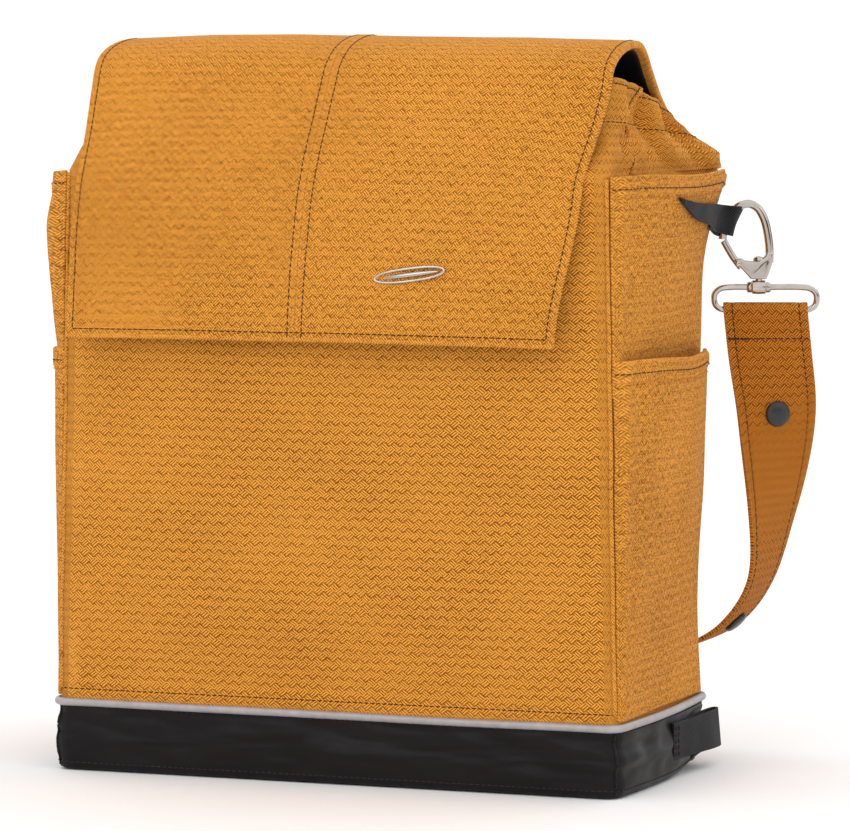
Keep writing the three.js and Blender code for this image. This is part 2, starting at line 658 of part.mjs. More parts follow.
/** The strap's centre line on the right: a tail, the fold around the ring's bar and the fall. */
function strapFrames() {
  const bar = new THREE.Vector3(HOOK_POST.x, HOOK_POST.y, RING.bottom).addScaledVector(OUT, RING.shift);
  const radius = RING.wire + STRAP_FOLD + STRAP / 2;
  const up = new THREE.Vector3(0, 0, 1);
  const onFold = (angle) => bar.clone()
    .addScaledVector(FACE, radius * Math.cos(angle))
    .addScaledVector(up, radius * Math.sin(angle));
  const frames = [];
  const stops = STRAP_ROUTE.map(([share, y, z]) => new THREE.Vector3(share * HOOK_POST.x, y, z));
  const fall = new THREE.CatmullRomCurve3([onFold(0), ...stops]);
  const seam = fall.getPointAt(STRAP_TAIL / fall.getLength());
  frames.push({ point: seam.clone().addScaledVector(FACE, -STRAP - GAP - STRAP_TAIL_GAP), across: OUT });
  const turns = 6;
  for (let i = turns; i > 0; i -= 1) {
    frames.push({ point: onFold((Math.PI * i) / turns), across: OUT });
  }
  const length = fall.getLength();
  const steps = 34;
  for (let i = 0; i <= steps; i += 1) {
    const run = (length * i) / steps;
    const turn = lerp(HOOK_YAW, 90, smooth(run / STRAP_TWIST));
    const angle = THREE.MathUtils.degToRad(turn);
    frames.push({
      point: fall.getPointAt(i / steps),
      across: new THREE.Vector3(Math.cos(angle), Math.sin(angle), 0),
      run,
    });
  }
  return frames;
}

/** The strap's place and directions a given way below its right ring. */
function strapAt(frames, run) {
  const next = frames.findIndex((frame) => frame.run >= run);
  const [before, after] = [frames[next - 1], frames[next]];
  const t = (run - before.run) / (after.run - before.run);
  const along = after.point.clone().sub(before.point).normalize();
  const across = before.across.clone().lerp(after.across, t);
  const face = along.clone().cross(across).normalize();
  return { point: before.point.clone().lerp(after.point, t), face };
}

/** A band of the given width and thickness through a list of frames. */
function band(frames, width, thickness) {
  const last = frames.length - 1;
  return bent(2, last, (u, v, w) => {
    const i = Math.round(v * last);
    const along = frames[Math.min(i + 1, last)].point.clone().sub(frames[Math.max(i - 1, 0)].point);
    const { point, across } = frames[i];
    const normal = across.clone().cross(along).normalize();
    return point.clone()
      .addScaledVector(across, (u - 0.5) * width)
      .addScaledVector(normal, (w - 0.5) * thickness);
  });
}

/** A lathed piece standing on the strap's outer face, with y of its profile along the face. */
function onStrap(profile, at) {
  const points = profile.map(([r, y]) => new THREE.Vector2(r, y));
  const geometry = new THREE.LatheGeometry(points, 20);
  const turn = new THREE.Quaternion().setFromUnitVectors(new THREE.Vector3(0, 1, 0), at.face);
  return closed(geometry.applyQuaternion(turn).translate(at.point.x, at.point.y, at.point.z));
}

function snapCap(at) {
  const foot = STRAP / 2 + SNAP.seat;
  const back = -foot - SNAP.socketHeight * 0.6;
  return onStrap([
    [0, back], [SNAP.shank, back], [SNAP.shank, foot], [SNAP.cap, foot],
    [SNAP.cap, foot + SNAP.capHeight * 0.4], [SNAP.cap * 0.8, foot + SNAP.capHeight * 0.8],
    [SNAP.cap * 0.45, foot + SNAP.capHeight], [0, foot + SNAP.capHeight],
  ], at);
}

function snapSocket(at) {
  const foot = -STRAP / 2 - SNAP.seat;
  const hole = SNAP.shank + GAP;
  const end = foot - SNAP.socketHeight;
  return onStrap([
    [hole, end], [SNAP.socket * 0.7, end], [SNAP.socket, foot - SNAP.socketHeight * 0.4],
    [SNAP.socket, foot], [hole, foot], [hole, end],
  ], at);
}

function addStrap(strap) {
  const frames = strapFrames();
  const mirrored = frames.slice(0, -1).reverse().map(({ point, across }) => ({
    point: new THREE.Vector3(-point.x, point.y, point.z),
    across: new THREE.Vector3(-across.x, across.y, across.z),
  }));
  const holes = [];
  for (const [level, run] of Object.entries(SNAP_PLACES)) {
    const at = strapAt(frames, run);
    const hole = cylinder(SNAP.shank + GAP, 3 * STRAP, at.face, at.point, 16);
    for (const [name, side] of SIDES) {
      holes.push(onSide(hole, side));
      add(`snap_cap_${level}_${name}`, onSide(snapCap(at), side), 'cap', strap);
      const inner = level === 'upper' ? 'snap_socket' : 'snap_stud';
      add(`${inner}_${name}`, onSide(snapSocket(at), side), 'cap', strap);
    }
  }
  add('strap_web', cut(band([...frames, ...mirrored], STRAP_WIDTH, STRAP), ...holes), 'fabric', strap);
}

// ---------------------------------------------------------------- assembly

const strapGroup = new THREE.Group();
bag.add(strapGroup);
addBoot();
addPiping();
addBodyPanels();
addNeck();
addLining();
addPockets();
addPanelMagnets();
addFlap();
addLoops(strapGroup);
addHooks(strapGroup);
addStrap(strapGroup);

export default bag;
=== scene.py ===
"""A soft pushchair changing bag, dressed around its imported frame.

All sizes are in metres, in the frame's own axes: +Z is up and the flap looks towards -Y.
"""

from __future__ import annotations

import bisect
import logging
import math
from dataclasses import dataclass, field
from enum import Enum
from typing import Callable, Sequence

import bmesh
import bpy
from mathutils import Matrix, Vector, noise
from mathutils.bvhtree import BVHTree


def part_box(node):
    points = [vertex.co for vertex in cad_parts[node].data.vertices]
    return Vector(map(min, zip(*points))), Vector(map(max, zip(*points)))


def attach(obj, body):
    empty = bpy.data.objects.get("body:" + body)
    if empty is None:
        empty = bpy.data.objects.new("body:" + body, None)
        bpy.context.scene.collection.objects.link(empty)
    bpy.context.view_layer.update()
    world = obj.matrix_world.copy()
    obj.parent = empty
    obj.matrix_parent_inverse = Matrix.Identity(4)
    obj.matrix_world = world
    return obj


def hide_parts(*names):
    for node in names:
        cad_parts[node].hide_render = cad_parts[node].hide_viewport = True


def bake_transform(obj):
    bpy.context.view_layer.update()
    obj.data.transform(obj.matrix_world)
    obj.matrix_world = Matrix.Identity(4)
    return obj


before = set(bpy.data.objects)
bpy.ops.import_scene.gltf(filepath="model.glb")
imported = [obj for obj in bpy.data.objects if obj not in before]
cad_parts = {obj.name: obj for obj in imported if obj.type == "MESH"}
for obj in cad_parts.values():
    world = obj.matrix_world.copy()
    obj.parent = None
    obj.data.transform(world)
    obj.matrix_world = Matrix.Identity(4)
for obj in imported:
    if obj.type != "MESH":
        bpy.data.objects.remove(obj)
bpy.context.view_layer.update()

log = logging.getLogger("changing_bag")

MM = 0.001
ROOT = "root"

UPPER_GAPE = 20 * MM
LOWER_GAPE = 14 * MM
WHOLE_RING = 0.9995  # a row of stitches around the bag ends just short of where it started

Place = Callable[[float, float], Vector]
Body = str | tuple[str, str, Vector, Vector]
Outline = Sequence[tuple[float, float]]
Socket = bpy.types.NodeSocket


class Side(Enum):
    """The bag's two sides, with the sign of X on each."""

    LEFT = -1
    RIGHT = 1

    @property
    def word(self) -> str:
        """The side's name as the nodes spell it."""
        return self.name.lower()


# ------------------------------------------------------------------ numbers and curves


def lerp(a: float, b: float, t: float) -> float:
    """The value a share t of the way from a to b."""
    return a + (b - a) * t


def clamp(t: float) -> float:
    """The value t held between 0 and 1."""
    return min(max(t, 0.0), 1.0)


def smooth(t: float) -> float:
    """An eased step from 0 to 1."""
    s = clamp(t)
    return s * s * (3 - 2 * s)


def hump(value: float, centre: float, width: float) -> float:
    """A soft bump of height 1 around a centre."""
    return math.exp(-(((value - centre) / width) ** 2))


def shares(count: int) -> list[float]:
    """Even shares from 0 to 1, with both ends."""
    return [i / count for i in range(count + 1)]


def ring_row(place: Place, v: float, count: int) -> list[Vector]:
    """Points for a row of stitches all the way around a ring, at a share v of its height."""
    return [place(WHOLE_RING * t, v) for t in shares(count)]


def along_list(pairs: Outline, at: float) -> float:
    """Reads a value off a list of (position, value) pairs, eased between them.

    Args:
        pairs: positions in rising order, each with its value.
        at: the position to read.

    Returns:
        The value there, held at the list's ends.
    """
    if at <= pairs[0][0]:
        return pairs[0][1]
    for (a, low), (b, high) in zip(pairs, pairs[1:]):
        if at <= b:
            return lerp(low, high, smooth((at - a) / (b - a)))
    return pairs[-1][1]


def ruffle(point: Vector, scale: float, seed: float = 0.0) -> float:
    """Smooth noise from -1 to 1 at a place, with features about 1 / scale across."""
    return noise.noise(point * scale + Vector((seed, 0.37 * seed, 1.7 * seed)))


class Route:
    """A smooth curve through points, read by the distance along it."""

    FINE = 24

    def __init__(self, points: Sequence[Vector], closed: bool = False) -> None:
        """Lays the curve.

        Args:
            points: the places that it passes through.
            closed: whether the last point joins the first.
        """
        count = len(points)
        self.places: list[Vector] = []
        for i in range(count if closed else count - 1):
            if closed:
                a, b, c, d = (points[(i + k) % count] for k in (-1, 0, 1, 2))
            else:
                b, c = points[i], points[i + 1]
                a = points[i - 1] if i else b * 2 - c
                d = points[i + 2] if i + 2 < count else c * 2 - b
            self.places += [self._between(a, b, c, d, k / self.FINE) for k in range(self.FINE)]
        self.places.append((points[0] if closed else points[-1]).copy())
        self.runs = [0.0]
        for a, b in zip(self.places, self.places[1:]):
            self.runs.append(self.runs[-1] + (b - a).length)

    @staticmethod
    def _between(a: Vector, b: Vector, c: Vector, d: Vector, t: float) -> Vector:
        """One place between b and c on a centripetal curve.

        Args:
            a: the point before.
            b: where the stretch starts.
            c: where it ends.
            d: the point after.
            t: the share of the way from b to c.

        Returns:
            The place.
        """
        ab, bc, cd = ((q - p).length ** 0.5 or 1e-9 for p, q in ((a, b), (b, c), (c, d)))
        leave = ((b - a) / ab - (c - a) / (ab + bc) + (c - b) / bc) * bc
        reach = ((c - b) / bc - (d - b) / (bc + cd) + (d - c) / cd) * bc
        cubic = b * 2 - c * 2 + leave + reach
        square = c * 3 - b * 3 - leave * 2 - reach
        return cubic * t**3 + square * t**2 + leave * t + b

    @property
    def length(self) -> float:
        """The curve's whole length."""
        return self.runs[-1]

    def at(self, run: float) -> Vector:
        """The place a given distance along the curve."""
        low, high = 0, len(self.runs) - 1
        run = min(max(run, 0.0), self.length)
        while high - low > 1:
            middle = (low + high) // 2
            if self.runs[middle] <= run:
                low = middle
            else:
                high = middle
        span = self.runs[high] - self.runs[low] or 1e-9
        return self.places[low].lerp(self.places[high], (run - self.runs[low]) / span)

    def heading(self, run: float, step: float = 0.0006) -> Vector:
        """The direction of travel a given distance along the curve."""
        return (self.at(run + step) - self.at(run - step)).normalized()


# ------------------------------------------------------------------ shader trees


def colour(red: float, green: float, blue: float) -> tuple[float, float, float, float]:
    """A display colour, 0 to 255, as the linear colour that shaders take."""

    def linear(value: float) -> float:
        """One channel."""
        share = value / 255
        return share / 12.92 if share <= 0.04045 else ((share + 0.055) / 1.055) ** 2.4

    return (linear(red), linear(green), linear(blue), 1.0)


class Tree:
    """A short way to lay out one node tree."""

    def __init__(self, tree: bpy.types.NodeTree) -> None:
        """Takes the tree to fill."""
        self.tree = tree

    def feed(self, socket: bpy.types.NodeSocket, value: object) -> None:
        """Links a socket, or sets its value."""
        if isinstance(value, bpy.types.NodeSocket):
            self.tree.links.new(value, socket)
        else:
            socket.default_value = value

    def put(
        self, kind: str, inputs: dict[object, object] | None = None, **settings: object,
    ) -> bpy.types.Node:
        """Adds a node.

        Args:
            kind: the node's type.
            inputs: what feeds its sockets, by name or number.
            settings: its own properties.

        Returns:
            The node.
        """
        node = self.tree.nodes.new(kind)
        for key, value in settings.items():
            setattr(node, key, value)
        for key, value in (inputs or {}).items():
            self.feed(node.inputs[key], value)
        return node

    def math(self, operation: str, a: object, b: object = 0.0, hold: bool = False) -> Socket:
        """One sum on one or two values."""
        node = self.put("ShaderNodeMath", {0: a, 1: b}, operation=operation, use_clamp=hold)
        return node.outputs[0]

    def mix(self, share: object, a: object, b: object, blend: str = "MIX") -> Socket:
        """Mixes two colours."""
        node = self.put("ShaderNodeMix", {0: share, 6: a, 7: b}, data_type="RGBA", blend_type=blend)
        return node.outputs[2]

    def stretch(self, vector: object, scale: tuple[float, float, float]) -> Socket:
        """A pattern's coordinates, scaled on each axis."""
        return self.put("ShaderNodeMapping", {"Vector": vector, "Scale": scale}).outputs[0]

    def noise(self, vector: object, scale: float, detail: float = 2.0) -> Socket:
        """Cloudy noise from 0 to 1."""
        node = self.put("ShaderNodeTexNoise", {"Vector": vector, "Scale": scale, "Detail": detail})
        return node.outputs[0]

    def span(self, value: object, low: float, high: float, to_low: float, to_high: float) -> Socket:
        """Maps one range of values onto another, held at its ends."""
        node = self.put("ShaderNodeMapRange", {0: value, 1: low, 2: high, 3: to_low, 4: to_high})
        return node.outputs[0]

    def group(self, group: bpy.types.NodeTree, inputs: dict[object, object]) -> bpy.types.Node:
        """Places a shared effect with its own values."""
        node = self.put("ShaderNodeGroup", node_tree=group)
        for key, value in inputs.items():
            self.feed(node.inputs[key], value)
        return node


def new_group(
    name: str, takes: dict[str, float | None], gives: Sequence[str],
) -> tuple[Tree, bpy.types.Node, bpy.types.Node]:
    """Starts a shared effect.

    Args:
        name: the group's name.
        takes: its inputs, a number's default or None for a vector.
        gives: its outputs, each a number.

    Returns:
        The tree, its input node and its output node.
    """
    group = bpy.data.node_groups.new(name, "ShaderNodeTree")
    for key, default in takes.items():
        kind = "NodeSocketVector" if default is None else "NodeSocketFloat"
        socket = group.interface.new_socket(key, in_out="INPUT", socket_type=kind)
        if default is not None:
            socket.default_value = default
    for key in gives:
        group.interface.new_socket(key, in_out="OUTPUT", socket_type="NodeSocketFloat")
    tree = Tree(group)
    return tree, tree.put("NodeGroupInput"), tree.put("NodeGroupOutput")


def make_parquet_twill() -> bpy.types.NodeTree:
    """Blocks of short parallel dashes that turn a right angle from block to block.

    Returns:
        A group from cloth coordinates in metres to a thread mask and its height.
    """
    sockets = {"Cloth": None, "Block": 0.0036, "Pitch": 0.0012}
    tree, takes, gives = new_group("parquet_twill", sockets, ("Thread", "Height"))
    cloth, block = takes.outputs["Cloth"], takes.outputs["Block"]
    wobble = tree.put("ShaderNodeTexNoise", {"Vector": cloth, "Scale": 260.0, "Detail": 1.0}).outputs["Color"]
    drift = tree.put("ShaderNodeVectorMath", {0: wobble, 1: (0.0006, 0.0006, 0.0)}, operation="MULTIPLY")
    moved = tree.put("ShaderNodeVectorMath", {0: cloth, 1: drift.outputs[0]}, operation="ADD")
    split = tree.put("ShaderNodeSeparateXYZ", {0: moved.outputs[0]})
    half = math.sqrt(0.5)
    across = tree.math("MULTIPLY", tree.math("ADD", split.outputs[0], split.outputs[1]), half)
    along = tree.math("MULTIPLY", tree.math("SUBTRACT", split.outputs[0], split.outputs[1]), half)
    cells = [tree.math("FLOOR", tree.math("DIVIDE", value, block)) for value in (across, along)]
    parity = tree.math("FLOORED_MODULO", tree.math("ADD", cells[0], cells[1]), 2.0)
    gap = tree.math("SUBTRACT", across, along)
    turned = tree.math("MULTIPLY", gap, parity)
    rung = tree.math("ADD", along, turned)
    dash = tree.math("SUBTRACT", across, turned)
    phase = tree.math("MULTIPLY", tree.math("DIVIDE", rung, takes.outputs["Pitch"]), 2 * math.pi)
    wave = tree.math("SINE", phase)
    stripe = tree.span(wave, -0.85, 0.25, 0.0, 1.0)
    swing = tree.math("SINE", tree.math("MULTIPLY", tree.math("DIVIDE", dash, block), math.pi))
    body = tree.span(tree.math("ABSOLUTE", swing), 0.0, 0.5, 0.25, 1.0)
    thread = tree.math("MULTIPLY", stripe, body)
    tree.feed(gives.inputs["Thread"], thread)
    tree.feed(gives.inputs["Height"], thread)
    return tree.tree


def make_melange() -> bpy.types.NodeTree:
    """Fine streaks of lighter and darker yarn, and the slow drift of a dyed piece.

    Returns:
        A group from cloth coordinates and object coordinates to a value about 0.5.
    """
    sockets = {"Cloth": None, "Object": None, "Streak": 0.5, "Drift": 0.3}
    tree, takes, gives = new_group("melange", sockets, ("Value",))
    weft = tree.noise(tree.stretch(takes.outputs["Cloth"], (150.0, 950.0, 1.0)), 1.0, 3.0)
    warp = tree.noise(tree.stretch(takes.outputs["Cloth"], (900.0, 300.0, 1.0)), 1.0, 2.0)
    slow = tree.noise(takes.outputs["Object"], 14.0, 2.0)
    streak = tree.math("SUBTRACT", tree.math("ADD", weft, warp), 1.0)
    drift = tree.math("SUBTRACT", slow, 0.5)
    value = tree.math("ADD", tree.math("MULTIPLY", streak, takes.outputs["Streak"]), 0.5)
    value = tree.math("ADD", value, tree.math("MULTIPLY", drift, takes.outputs["Drift"]), hold=True)
    tree.feed(gives.inputs["Value"], value)
    return tree.tree


def make_rubbing() -> bpy.types.NodeTree:
    """Where handling has rubbed a piece: its raised edges, in broken patches.

    Returns:
        A group from object coordinates to a mask.
    """
    tree, takes, gives = new_group("rubbing", {"Object": None, "Amount": 0.5}, ("Mask",))
    edge = tree.put("ShaderNodeNewGeometry").outputs["Pointiness"]
    raised = tree.span(edge, 0.505, 0.56, 0.0, 1.0)
    patches = tree.span(tree.noise(takes.outputs["Object"], 180.0, 3.0), 0.35, 0.65, 0.25, 1.0)
    mask = tree.math("MULTIPLY", tree.math("MULTIPLY", raised, patches), takes.outputs["Amount"], hold=True)
    tree.feed(gives.inputs["Mask"], mask)
    return tree.tree


def make_fine_ribs() -> bpy.types.NodeTree:
    """Slanting ribs, for webbing and plain nylon.

    Returns:
        A group from cloth coordinates in metres to a rib height.
    """
    sockets = {"Cloth": None, "Pitch": 0.001, "Slant": 1.0, "Depth": 0.35}
    tree, takes, gives = new_group("fine_ribs", sockets, ("Height",))
    split = tree.put("ShaderNodeSeparateXYZ", {0: takes.outputs["Cloth"]})
    slanted = tree.math("MULTIPLY", tree.math("ABSOLUTE", split.outputs[0]), takes.outputs["Slant"])
    phase = tree.math("DIVIDE", tree.math("ADD", slanted, split.outputs[1]), takes.outputs["Pitch"])
    wave = tree.math("SINE", tree.math("MULTIPLY", phase, 2 * math.pi))
    grain = tree.noise(tree.stretch(takes.outputs["Cloth"], (1500.0, 1500.0, 1.0)), 1.0, 2.0)
    height = tree.math("ADD", tree.math("MULTIPLY", wave, takes.outputs["Depth"]), grain, hold=True)
    tree.feed(gives.inputs["Height"], height)
    return tree.tree


class Effects:
    """The shared shader effects, each built once."""

    def __init__(self) -> None:
        """Builds them all."""
        self.twill = make_parquet_twill()
        self.melange = make_melange()
        self.rubbing = make_rubbing()
        self.ribs = make_fine_ribs()


@dataclass(frozen=True)
class Finish:
    """What every finish has."""

    name: str
    roughness: float = 0.8

    def start(self) -> tuple[bpy.types.Material, Tree, bpy.types.Node, bpy.types.Node]:
        """Makes an empty material.

        Returns:
            The material, its tree, its shader and its coordinates.
        """
        material = bpy.data.materials.new(self.name)
        material.use_nodes = True
        tree = Tree(material.node_tree)
        shader = material.node_tree.nodes["Principled BSDF"]
        shader.inputs["Roughness"].default_value = self.roughness
        return material, tree, shader, tree.put("ShaderNodeTexCoord")

    @staticmethod
    def plain(shader: bpy.types.Node, sockets: dict[str, float]) -> None:
        """Sets the shader's numbers that are the same all over."""
        for key, value in sockets.items():
            shader.inputs[key].default_value = value

    @staticmethod
    def emboss(tree: Tree, shader: bpy.types.Node, height: object, depth: float, strength: float) -> None:
        """Feeds a height into the shader's normal."""
        bump = tree.put("ShaderNodeBump", {"Height": height, "Distance": depth, "Strength": strength})
        tree.feed(shader.inputs["Normal"], bump.outputs[0])


@dataclass(frozen=True)
class MelangeTwill(Finish):
    """Mustard melange cloth in a broken twill."""

    light: tuple[float, float, float] = (238, 162, 64)
    dark: tuple[float, float, float] = (108, 54, 2)
    contrast: float = 1.0
    streak: float = 0.8
    block: float = 3.9 * MM
    pitch: float = 1.3 * MM

    def build(self, effects: Effects) -> bpy.types.Material:
        """Makes the material."""
        material, tree, shader, places = self.start()
        cloth, object_place = places.outputs["UV"], places.outputs["Object"]
        twill = tree.group(effects.twill, {"Cloth": cloth, "Block": self.block, "Pitch": self.pitch})
        yarn = tree.group(effects.melange, {
            "Cloth": cloth, "Object": object_place, "Streak": self.streak, "Drift": 0.35,
        })
        worn = tree.group(effects.rubbing, {"Object": object_place, "Amount": 0.35})
        thread = tree.math("MULTIPLY", tree.math("SUBTRACT", twill.outputs["Thread"], 0.4), self.contrast)
        share = tree.math("ADD", yarn.outputs["Value"], thread, hold=True)
        base = tree.mix(share, colour(*self.dark), colour(*self.light))
        rubbed = tree.mix(worn.outputs["Mask"], base, colour(238, 168, 76))
        tree.feed(shader.inputs["Base Color"], rubbed)
        rough = tree.span(twill.outputs["Thread"], 0.0, 1.0, 0.95, self.roughness)
        tree.feed(shader.inputs["Roughness"], rough)
        self.plain(shader, {"Sheen Weight": 0.03, "Sheen Roughness": 0.5, "Specular IOR Level": 0.1})
        self.emboss(tree, shader, twill.outputs["Height"], 0.22 * MM, 0.8)
        return material


@dataclass(frozen=True)
class RibbedBlack(Finish):
    """Black webbing, lining or coated nylon, told apart by rib, shade and sheen. Its high colour is a painted
    highlight on the rib crests, and rubbed edges wear to it too.
    """

    shade: tuple[float, float, float] = (16, 14, 15)
    # high: a painted highlight colour for the rib crests, also the colour that rubbed edges wear to
    high: tuple[float, float, float] = (44, 42, 48)
    pitch: float = 1.1 * MM
    slant: float = 1.0
    depth: float = 0.2 * MM
    sheen: float = 0.02
    gloss: float = 0.14

    def build(self, effects: Effects) -> bpy.types.Material:
        """Makes the material."""
        material, tree, shader, places = self.start()
        ribs = tree.group(effects.ribs, {
            "Cloth": places.outputs["UV"], "Pitch": self.pitch, "Slant": self.slant,
            "Depth": 0.5 * self.slant + 0.2,
        })
        worn = tree.group(effects.rubbing, {"Object": places.outputs["Object"], "Amount": 0.5})
        cloud = tree.noise(places.outputs["Object"], 30.0, 3.0)
        # painted highlight: the rib crests are mixed from shade towards high, and rubbed edges take high as
        # well
        share = tree.math("MULTIPLY", ribs.outputs["Height"], tree.span(cloud, 0.3, 0.7, 0.25, 0.7))
        base = tree.mix(share, colour(*self.shade), colour(*self.high))
        tree.feed(shader.inputs["Base Color"], tree.mix(worn.outputs["Mask"], base, colour(*self.high)))
        rough = tree.span(cloud, 0.3, 0.7, self.roughness + 0.08, self.roughness - 0.05)
        tree.feed(shader.inputs["Roughness"], rough)
        self.plain(shader, {
            "Specular IOR Level": self.gloss, "Sheen Weight": self.sheen, "Sheen Roughness": 0.4,
        })
        self.emboss(tree, shader, ribs.outputs["Height"], self.depth, 0.7)
        return material


@dataclass(frozen=True)
class ReflectiveTape(Finish):
    """Grey reflective tape, with fine beads in it."""

    def build(self, effects: Effects) -> bpy.types.Material:
        """Makes the material."""
        material, tree, shader, places = self.start()
        spot = places.outputs["Object"]
        beads = tree.put("ShaderNodeTexVoronoi", {"Vector": spot, "Scale": 1400.0}).outputs["Distance"]
        cloud = tree.noise(spot, 60.0, 3.0)
        worn = tree.group(effects.rubbing, {"Object": spot, "Amount": 0.5})
        base = tree.mix(cloud, colour(138, 132, 134), colour(172, 166, 168))
        tree.feed(shader.inputs["Base Color"], tree.mix(worn.outputs["Mask"], base, colour(200, 197, 198)))
        rough = tree.span(cloud, 0.3, 0.7, self.roughness, self.roughness + 0.12)
        tree.feed(shader.inputs["Roughness"], rough)
        self.plain(shader, {"Metallic": 0.25})
        self.emboss(tree, shader, beads, 0.1 * MM, 0.35)
        return material


@dataclass(frozen=True)
class HardFinish(Finish):
    """Plated, lacquered or moulded hard pieces."""

    shade: tuple[float, float, float] = (192, 185, 178)
    tint: tuple[float, float, float] = (150, 140, 129)
    metallic: float = 1.0
    grain: float = 220.0
    depth: float = 0.02 * MM
    coat: float = 0.0

    def build(self, effects: Effects) -> bpy.types.Material:
        """Makes the material."""
        material, tree, shader, places = self.start()
        cloud = tree.noise(places.outputs["Object"], self.grain, 4.0)
        slow = tree.noise(places.outputs["Object"], 70.0, 2.0)
        worn = tree.group(effects.rubbing, {"Object": places.outputs["Object"], "Amount": 0.6})
        base = tree.mix(slow, colour(*self.shade), colour(*self.tint))
        lit = tuple(min(255.0, channel + 30) for channel in self.shade)
        tree.feed(shader.inputs["Base Color"], tree.mix(worn.outputs["Mask"], base, colour(*lit)))
        rough = tree.span(cloud, 0.25, 0.75, self.roughness, self.roughness * 1.8)
        tree.feed(shader.inputs["Roughness"], rough)
        self.plain(shader, {"Metallic": self.metallic, "Coat Weight": self.coat, "Coat Roughness": 0.15})
        self.emboss(tree, shader, cloud, self.depth, 0.4)
        return material


@dataclass(frozen=True)
class Thread(Finish):
    """Twisted sewing thread."""

    shade: tuple[float, float, float] = (46, 20, 4)

    def build(self, effects: Effects) -> bpy.types.Material:
        """Makes the material."""
        material, tree, shader, places = self.start()
        cloud = tree.noise(places.outputs["Object"], 900.0, 2.0)
        high = tuple(min(255.0, channel * 1.5 + 8) for channel in self.shade)
        tree.feed(shader.inputs["Base Color"], tree.mix(cloud, colour(*self.shade), colour(*high)))
        tree.feed(shader.inputs["Roughness"], tree.span(cloud, 0.3, 0.7, self.roughness, 0.95))
        self.emboss(tree, shader, cloud, 0.05 * MM, 0.6)
        return material


class Finishes:
    """Every material of the bag, built once."""

    def __init__(self) -> None:
        """Builds them all."""
        effects = Effects()
        self.cloth = MelangeTwill("mustard_melange", 0.86).build(effects)
        self.flap_cloth = MelangeTwill(
            "mustard_melange_flap", 0.86, dark=(116, 60, 3), contrast=0.8, streak=1.1,
        ).build(effects)
        self.side_cloth = MelangeTwill("mustard_melange_side", 0.86, contrast=0.6, streak=1.3).build(effects)
        self.strap_cloth = MelangeTwill(
            "mustard_melange_strap", 0.86, light=(204, 126, 40), dark=(88, 38, 2), contrast=1.2,
        ).build(effects)
        # high in each black finish below is its painted rib highlight colour
        self.webbing = RibbedBlack(
            "black_webbing", 0.55, shade=(12, 11, 12), high=(60, 58, 63), pitch=2.1 * MM, depth=0.6 * MM,
        ).build(effects)
        self.lining = RibbedBlack(
            "black_lining", 0.6, shade=(9, 8, 9), high=(20, 19, 21), pitch=0.5 * MM, slant=0.0,
            depth=0.06 * MM,
        ).build(effects)
        self.boot = RibbedBlack(
            "black_boot_nylon", 0.4, shade=(17, 15, 15), high=(36, 32, 33), pitch=0.45 * MM, slant=0.0,
            depth=0.05 * MM, sheen=0.02, gloss=0.13,
        ).build(effects)
        self.tape = ReflectiveTape("reflective_tape", 0.38).build(effects)
        self.nickel = HardFinish("polished_nickel", 0.07).build(effects)
        self.lacquer = HardFinish(
            "black_lacquer", 0.35, shade=(14, 13, 15), tint=(22, 21, 23), metallic=0.0, grain=300.0,
            depth=0.03 * MM, coat=0.3,
        ).build(effects)
        self.board = HardFinish(
            "plain_board", 0.6, shade=(52, 52, 56), tint=(64, 64, 68), metallic=0.0, grain=400.0,
            depth=0.1 * MM,
        ).build(effects)
        self.magnet = HardFinish(
            "plated_magnet", 0.3, shade=(150, 150, 154), tint=(130, 130, 134),
        ).build(effects)
        self.thread = Thread("brown_thread", 0.7).build(effects)
        self.dark_thread = Thread("black_thread", 0.7, (20, 14, 12)).build(effects)
        self.pale_thread = Thread("mustard_thread", 0.8, (150, 92, 24)).build(effects)


# ------------------------------------------------------------------ making pieces


def finish_mesh(name: str, bm: bmesh.types.BMesh, material: bpy.types.Material) -> bpy.types.Object:
    """Turns a worked mesh into a smooth-shaded object at the origin."""
    mesh = bpy.data.meshes.new(name)
    bm.to_mesh(mesh)
    bm.free()
    mesh.materials.append(material)
    mesh.shade_smooth()
    piece = bpy.data.objects.new(name, mesh)
    bpy.context.scene.collection.objects.link(piece)
    return piece


def cloth_sheet(
    name: str, cells: tuple[int, int], cut: tuple[float, float], place: Place, material: bpy.types.Material,
    joined: bool = False,
) -> bpy.types.Object:
    """A sheet of cloth from a grid whose points are carried to their places.

    Args:
        name: the piece's name.
        cells: how many cells it has across and up.
        cut: its flat width and height, which the weave is laid out on.
        place: where a point goes, from its shares across and up.
        material: its finish.
        joined: whether its two upright edges meet.

    Returns:
        The sheet, facing the way that across and up turn.
    """
    bm = bmesh.new()
    layer = bm.loops.layers.uv.new("UVMap")
    bmesh.ops.create_grid(bm, x_segments=cells[0], y_segments=cells[1], size=0.5)
    for face in bm.faces:
        for loop in face.loops:
            loop[layer].uv = ((loop.vert.co.x + 0.5) * cut[0], (loop.vert.co.y + 0.5) * cut[1])
    for vert in bm.verts:
        vert.co = place(vert.co.x + 0.5, vert.co.y + 0.5)
    if joined:
        bmesh.ops.remove_doubles(bm, verts=bm.verts, dist=1e-6)
    return finish_mesh(name, bm, material)


def fill_rims(piece: bpy.types.Object, below: float = math.inf, outwards: bool = False) -> None:
    """Closes a sheet's open rims.

    Args:
        piece: the sheet.
        below: the height under which a rim is closed.
        outwards: whether its faces are then turned outwards.
    """
    bm = bmesh.new()
    bm.from_mesh(piece.data)
    rims = [edge for edge in bm.edges if edge.is_boundary and all(vert.co.z < below for vert in edge.verts)]
    if rims:
        bmesh.ops.holes_fill(bm, edges=rims, sides=0)
    if outwards:
        bmesh.ops.recalc_face_normals(bm, faces=bm.faces)
    bm.to_mesh(piece.data)
    bm.free()


